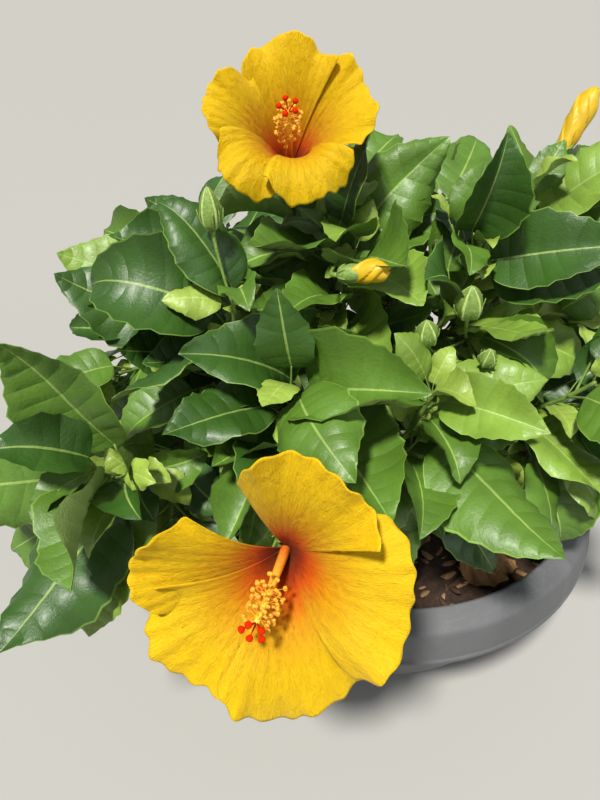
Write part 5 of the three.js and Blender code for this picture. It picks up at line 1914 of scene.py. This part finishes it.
class HIBISCUS_OT_buds(bpy.types.Operator):
    """Set the flower buds and the green calyces of the flowers"""
    bl_idname = "hibiscus.buds"
    bl_label = "Buds and Calyces"

    def execute(self, context):
        settings = settings_of(context, "flowers")
        sepal = small_finish("sepal", settings.sepal, 0.55, scale=500, depth=0.0004)
        rib = small_finish("bud_rib", settings.rib, 0.5)
        skin, draws = Skin(), Draws(BUD_LOOK.seed)
        for mass in grown_masses():
            for bud in drawn_buds(mass):
                add_bud(skin, bud, draws)
        place(skin.mesh("flower_buds"), [sepal, rib], "foliage",
              [f"foliage_{name}" for name in BUDS])
        skin = Skin()
        for bloom in FLOWERS:
            axes = flower_axes(bloom)
            foot = axes.throat - axes.axis * FLOWER.stalk_below
            add_calyx(skin, axes.axis, foot, FLOWER.stalk_below + CALYX.overlap,
                      FLOWER.calyx_radius, draws)
        add_spent_calyx(skin, draws)
        place(skin.mesh("calyces"), [sepal], "foliage", [bloom.name for bloom in FLOWERS])
        return {"FINISHED"}


class HIBISCUS_OT_blooms(bpy.types.Operator):
    """Open the two flowers and roll the closed one"""
    bl_idname = "hibiscus.blooms"
    bl_label = "Petals"

    def execute(self, context):
        settings = settings_of(context, "flowers")
        finish = petal_finish(settings)
        for bloom, name in ((FRONT_BLOOM, "front_bloom_petals"), (TOP_BLOOM, "top_bloom_petals")):
            mesh = petals_skin(bloom, settings.ruffle / MM).mesh(name, with_uv=True)
            thicken(place(mesh, [finish], "petals", [bloom.name]), PETAL.thickness)
        rolled = small_finish("rolled_petal", settings.face, 0.5, scale=120, depth=0.0005,
                              spread=0.14)
        for bloom, name, nodes in ((ROLLED_BLOOM, "rolled_bloom", [ROLLED_BLOOM.name]),
                                   (SPENT_BLOOM, "spent_bloom", [])):
            place(rolled_skin(bloom).mesh(name), [rolled], "petals", nodes)
        return {"FINISHED"}


class HIBISCUS_OT_columns(bpy.types.Operator):
    """Stand the column in each open flower, with its anthers and stigmas"""
    bl_idname = "hibiscus.columns"
    bl_label = "Columns, Anthers and Stigmas"

    def execute(self, context):
        settings = settings_of(context, "flowers")
        nodes = [bloom.name for bloom in BLOOMS]
        columns, stigmas, rails = Skin(), Skin(), []
        for bloom in BLOOMS:
            limb = column_limb(bloom)
            add_tube(columns, limb, 0, 1, COLUMN.rings, COLUMN.sides, uv=True)
            add_stigmas(stigmas, limb)
            shares = np.linspace(STAMENS.first, STAMENS.last, STAMENS.points)
            rails.append((limb.point(shares), np.ones(STAMENS.points)))
        finish = column_finish(settings.column_foot, settings.column_tip)
        place(columns.mesh("bloom_columns", with_uv=True), [finish], "petals", nodes)
        red = small_finish("stigma", settings.stigma, 0.7, 1400, 0.0003, 0.2, gloss=0.06)
        place(stigmas.mesh("stigmas"), [red], "petals", nodes)
        stamen = scene_object("stamen", anther_mesh())
        source = scene_object("column_lines", rail_mesh("column_lines", rails))
        values = {"Shape": stamen, "Count": settings.anthers, "Turn": GOLDEN_ANGLE,
                  "Lean": STAMENS.lean, "Smallest": STAMENS.smallest, "Largest": STAMENS.largest,
                  "Seed": STAMENS.seed,
                  "Material": small_finish("anther", settings.anther, 0.6, 900, 0.0003, 0.25)}
        place(made_by(whorl_tree(), source, "anthers", values), [], "petals", nodes)
        bpy.data.objects.remove(stamen)
        return {"FINISHED"}


# Studio, in metres. The lens is the photograph's: its focal length in shares of the picture's height
CAMERA = Group(place=(-0.09, -0.5, 0.62), pitch=36.5, focal_share=601 / 800, sensor=36,
               clip_start=0.01)
KEY_LIGHT = Group(kind="SUN", place=(-0.5, -0.95, 2.2), aim=(-0.03, -0.05, 0.32), spread=7,
                  colour=(1.0, 0.97, 0.91))
FILL_LIGHT = Group(kind="AREA", place=(1.5, -1.3, 1.3), aim=(0, 0, 0.3), size=1.6, power=9,
                   colour=(0.9, 0.95, 1.0))
SKY_COLOUR = (0.93, 0.96, 1.0)
FLOOR = Group(reach=60, roughness=0.8)


def hang_light(name, plan, power):
    light = bpy.data.lights.new(name, plan.kind)
    light.energy, light.color = power, plan.colour
    if plan.kind == "SUN":
        light.angle = math.radians(plan.spread)
    else:
        light.shape, light.size = "DISK", plan.size
    lamp = scene_object(name, light)
    lamp.location = plan.place
    aim = Vector(plan.aim) - Vector(plan.place)
    lamp.rotation_euler = aim.to_track_quat("-Z", "Y").to_euler()


def lay_floor(colour):
    mesh, reach = bpy.data.meshes.new("floor"), FLOOR.reach
    corners = [(x * reach, y * reach, 0) for x, y in ((-1, -1), (1, -1), (1, 1), (-1, 1))]
    mesh.from_pydata(corners, [], [(0, 1, 2, 3)])
    finish = Finish("floor", FLOOR.roughness)
    finish.colour(colour)
    mesh.materials.append(finish.material)
    scene_object("floor", mesh)


def light_sky(scene, strength):
    world = bpy.data.worlds.new("studio")
    world.use_nodes = True
    background = world.node_tree.nodes["Background"]
    background.inputs["Color"].default_value = (*SKY_COLOUR, 1)
    background.inputs["Strength"].default_value = strength
    scene.world = world


def stand_camera(scene):
    lens = bpy.data.cameras.new("camera")
    lens.lens, lens.sensor_width = CAMERA.sensor * CAMERA.focal_share, CAMERA.sensor
    lens.clip_start = CAMERA.clip_start
    camera = scene_object("camera", lens)
    camera.location = CAMERA.place
    camera.rotation_euler = (math.radians(90 - CAMERA.pitch), 0, 0)
    scene.camera = camera


class HIBISCUS_OT_stage(bpy.types.Operator):
    """Set the pale floor, the soft lights and the camera"""
    bl_idname = "hibiscus.stage"
    bl_label = "Stage, Lights and Camera"

    def execute(self, context):
        settings = settings_of(context, "stage")
        lay_floor(settings.floor)
        light_sky(context.scene, settings.sky)
        context.scene.view_settings.view_transform = "Standard"
        hang_light("key_light", KEY_LIGHT, settings.key_power)
        hang_light("fill_light", FILL_LIGHT, FILL_LIGHT.power)
        stand_camera(context.scene)
        return {"FINISHED"}


OPERATORS = (HIBISCUS_OT_pot, HIBISCUS_OT_soil, HIBISCUS_OT_boughs, HIBISCUS_OT_stems,
             HIBISCUS_OT_leaves, HIBISCUS_OT_buds, HIBISCUS_OT_blooms, HIBISCUS_OT_columns,
             HIBISCUS_OT_stage)


class HIBISCUS_PT_panel(bpy.types.Panel):
    """The pieces of the shrub and their settings"""
    bl_idname = "HIBISCUS_PT_panel"
    bl_label = "Hibiscus Shrub"
    bl_space_type = "VIEW_3D"
    bl_region_type = "UI"
    bl_category = "Hibiscus"

    def draw(self, context):
        column = self.layout.column()
        for operator in OPERATORS:
            column.operator(operator.bl_idname, text=operator.bl_label)
        for name, group in SETTINGS.items():
            box = self.layout.box()
            for part in group.__annotations__:
                box.prop(getattr(context.scene, name), part)


CLASSES = (*SETTINGS.values(), *OPERATORS, HIBISCUS_PT_panel)


def register():
    for each_class in CLASSES:
        bpy.utils.register_class(each_class)
    for name, group in SETTINGS.items():
        setattr(bpy.types.Scene, name, bpy.props.PointerProperty(type=group))


def unregister():
    for name in SETTINGS:
        delattr(bpy.types.Scene, name)
    for each_class in reversed(CLASSES):
        bpy.utils.unregister_class(each_class)


def main():
    register()
    for operator in OPERATORS:
        group, name = operator.bl_idname.split(".")
        getattr(getattr(bpy.ops, group), name)()


if __name__ == "__main__":
    main()
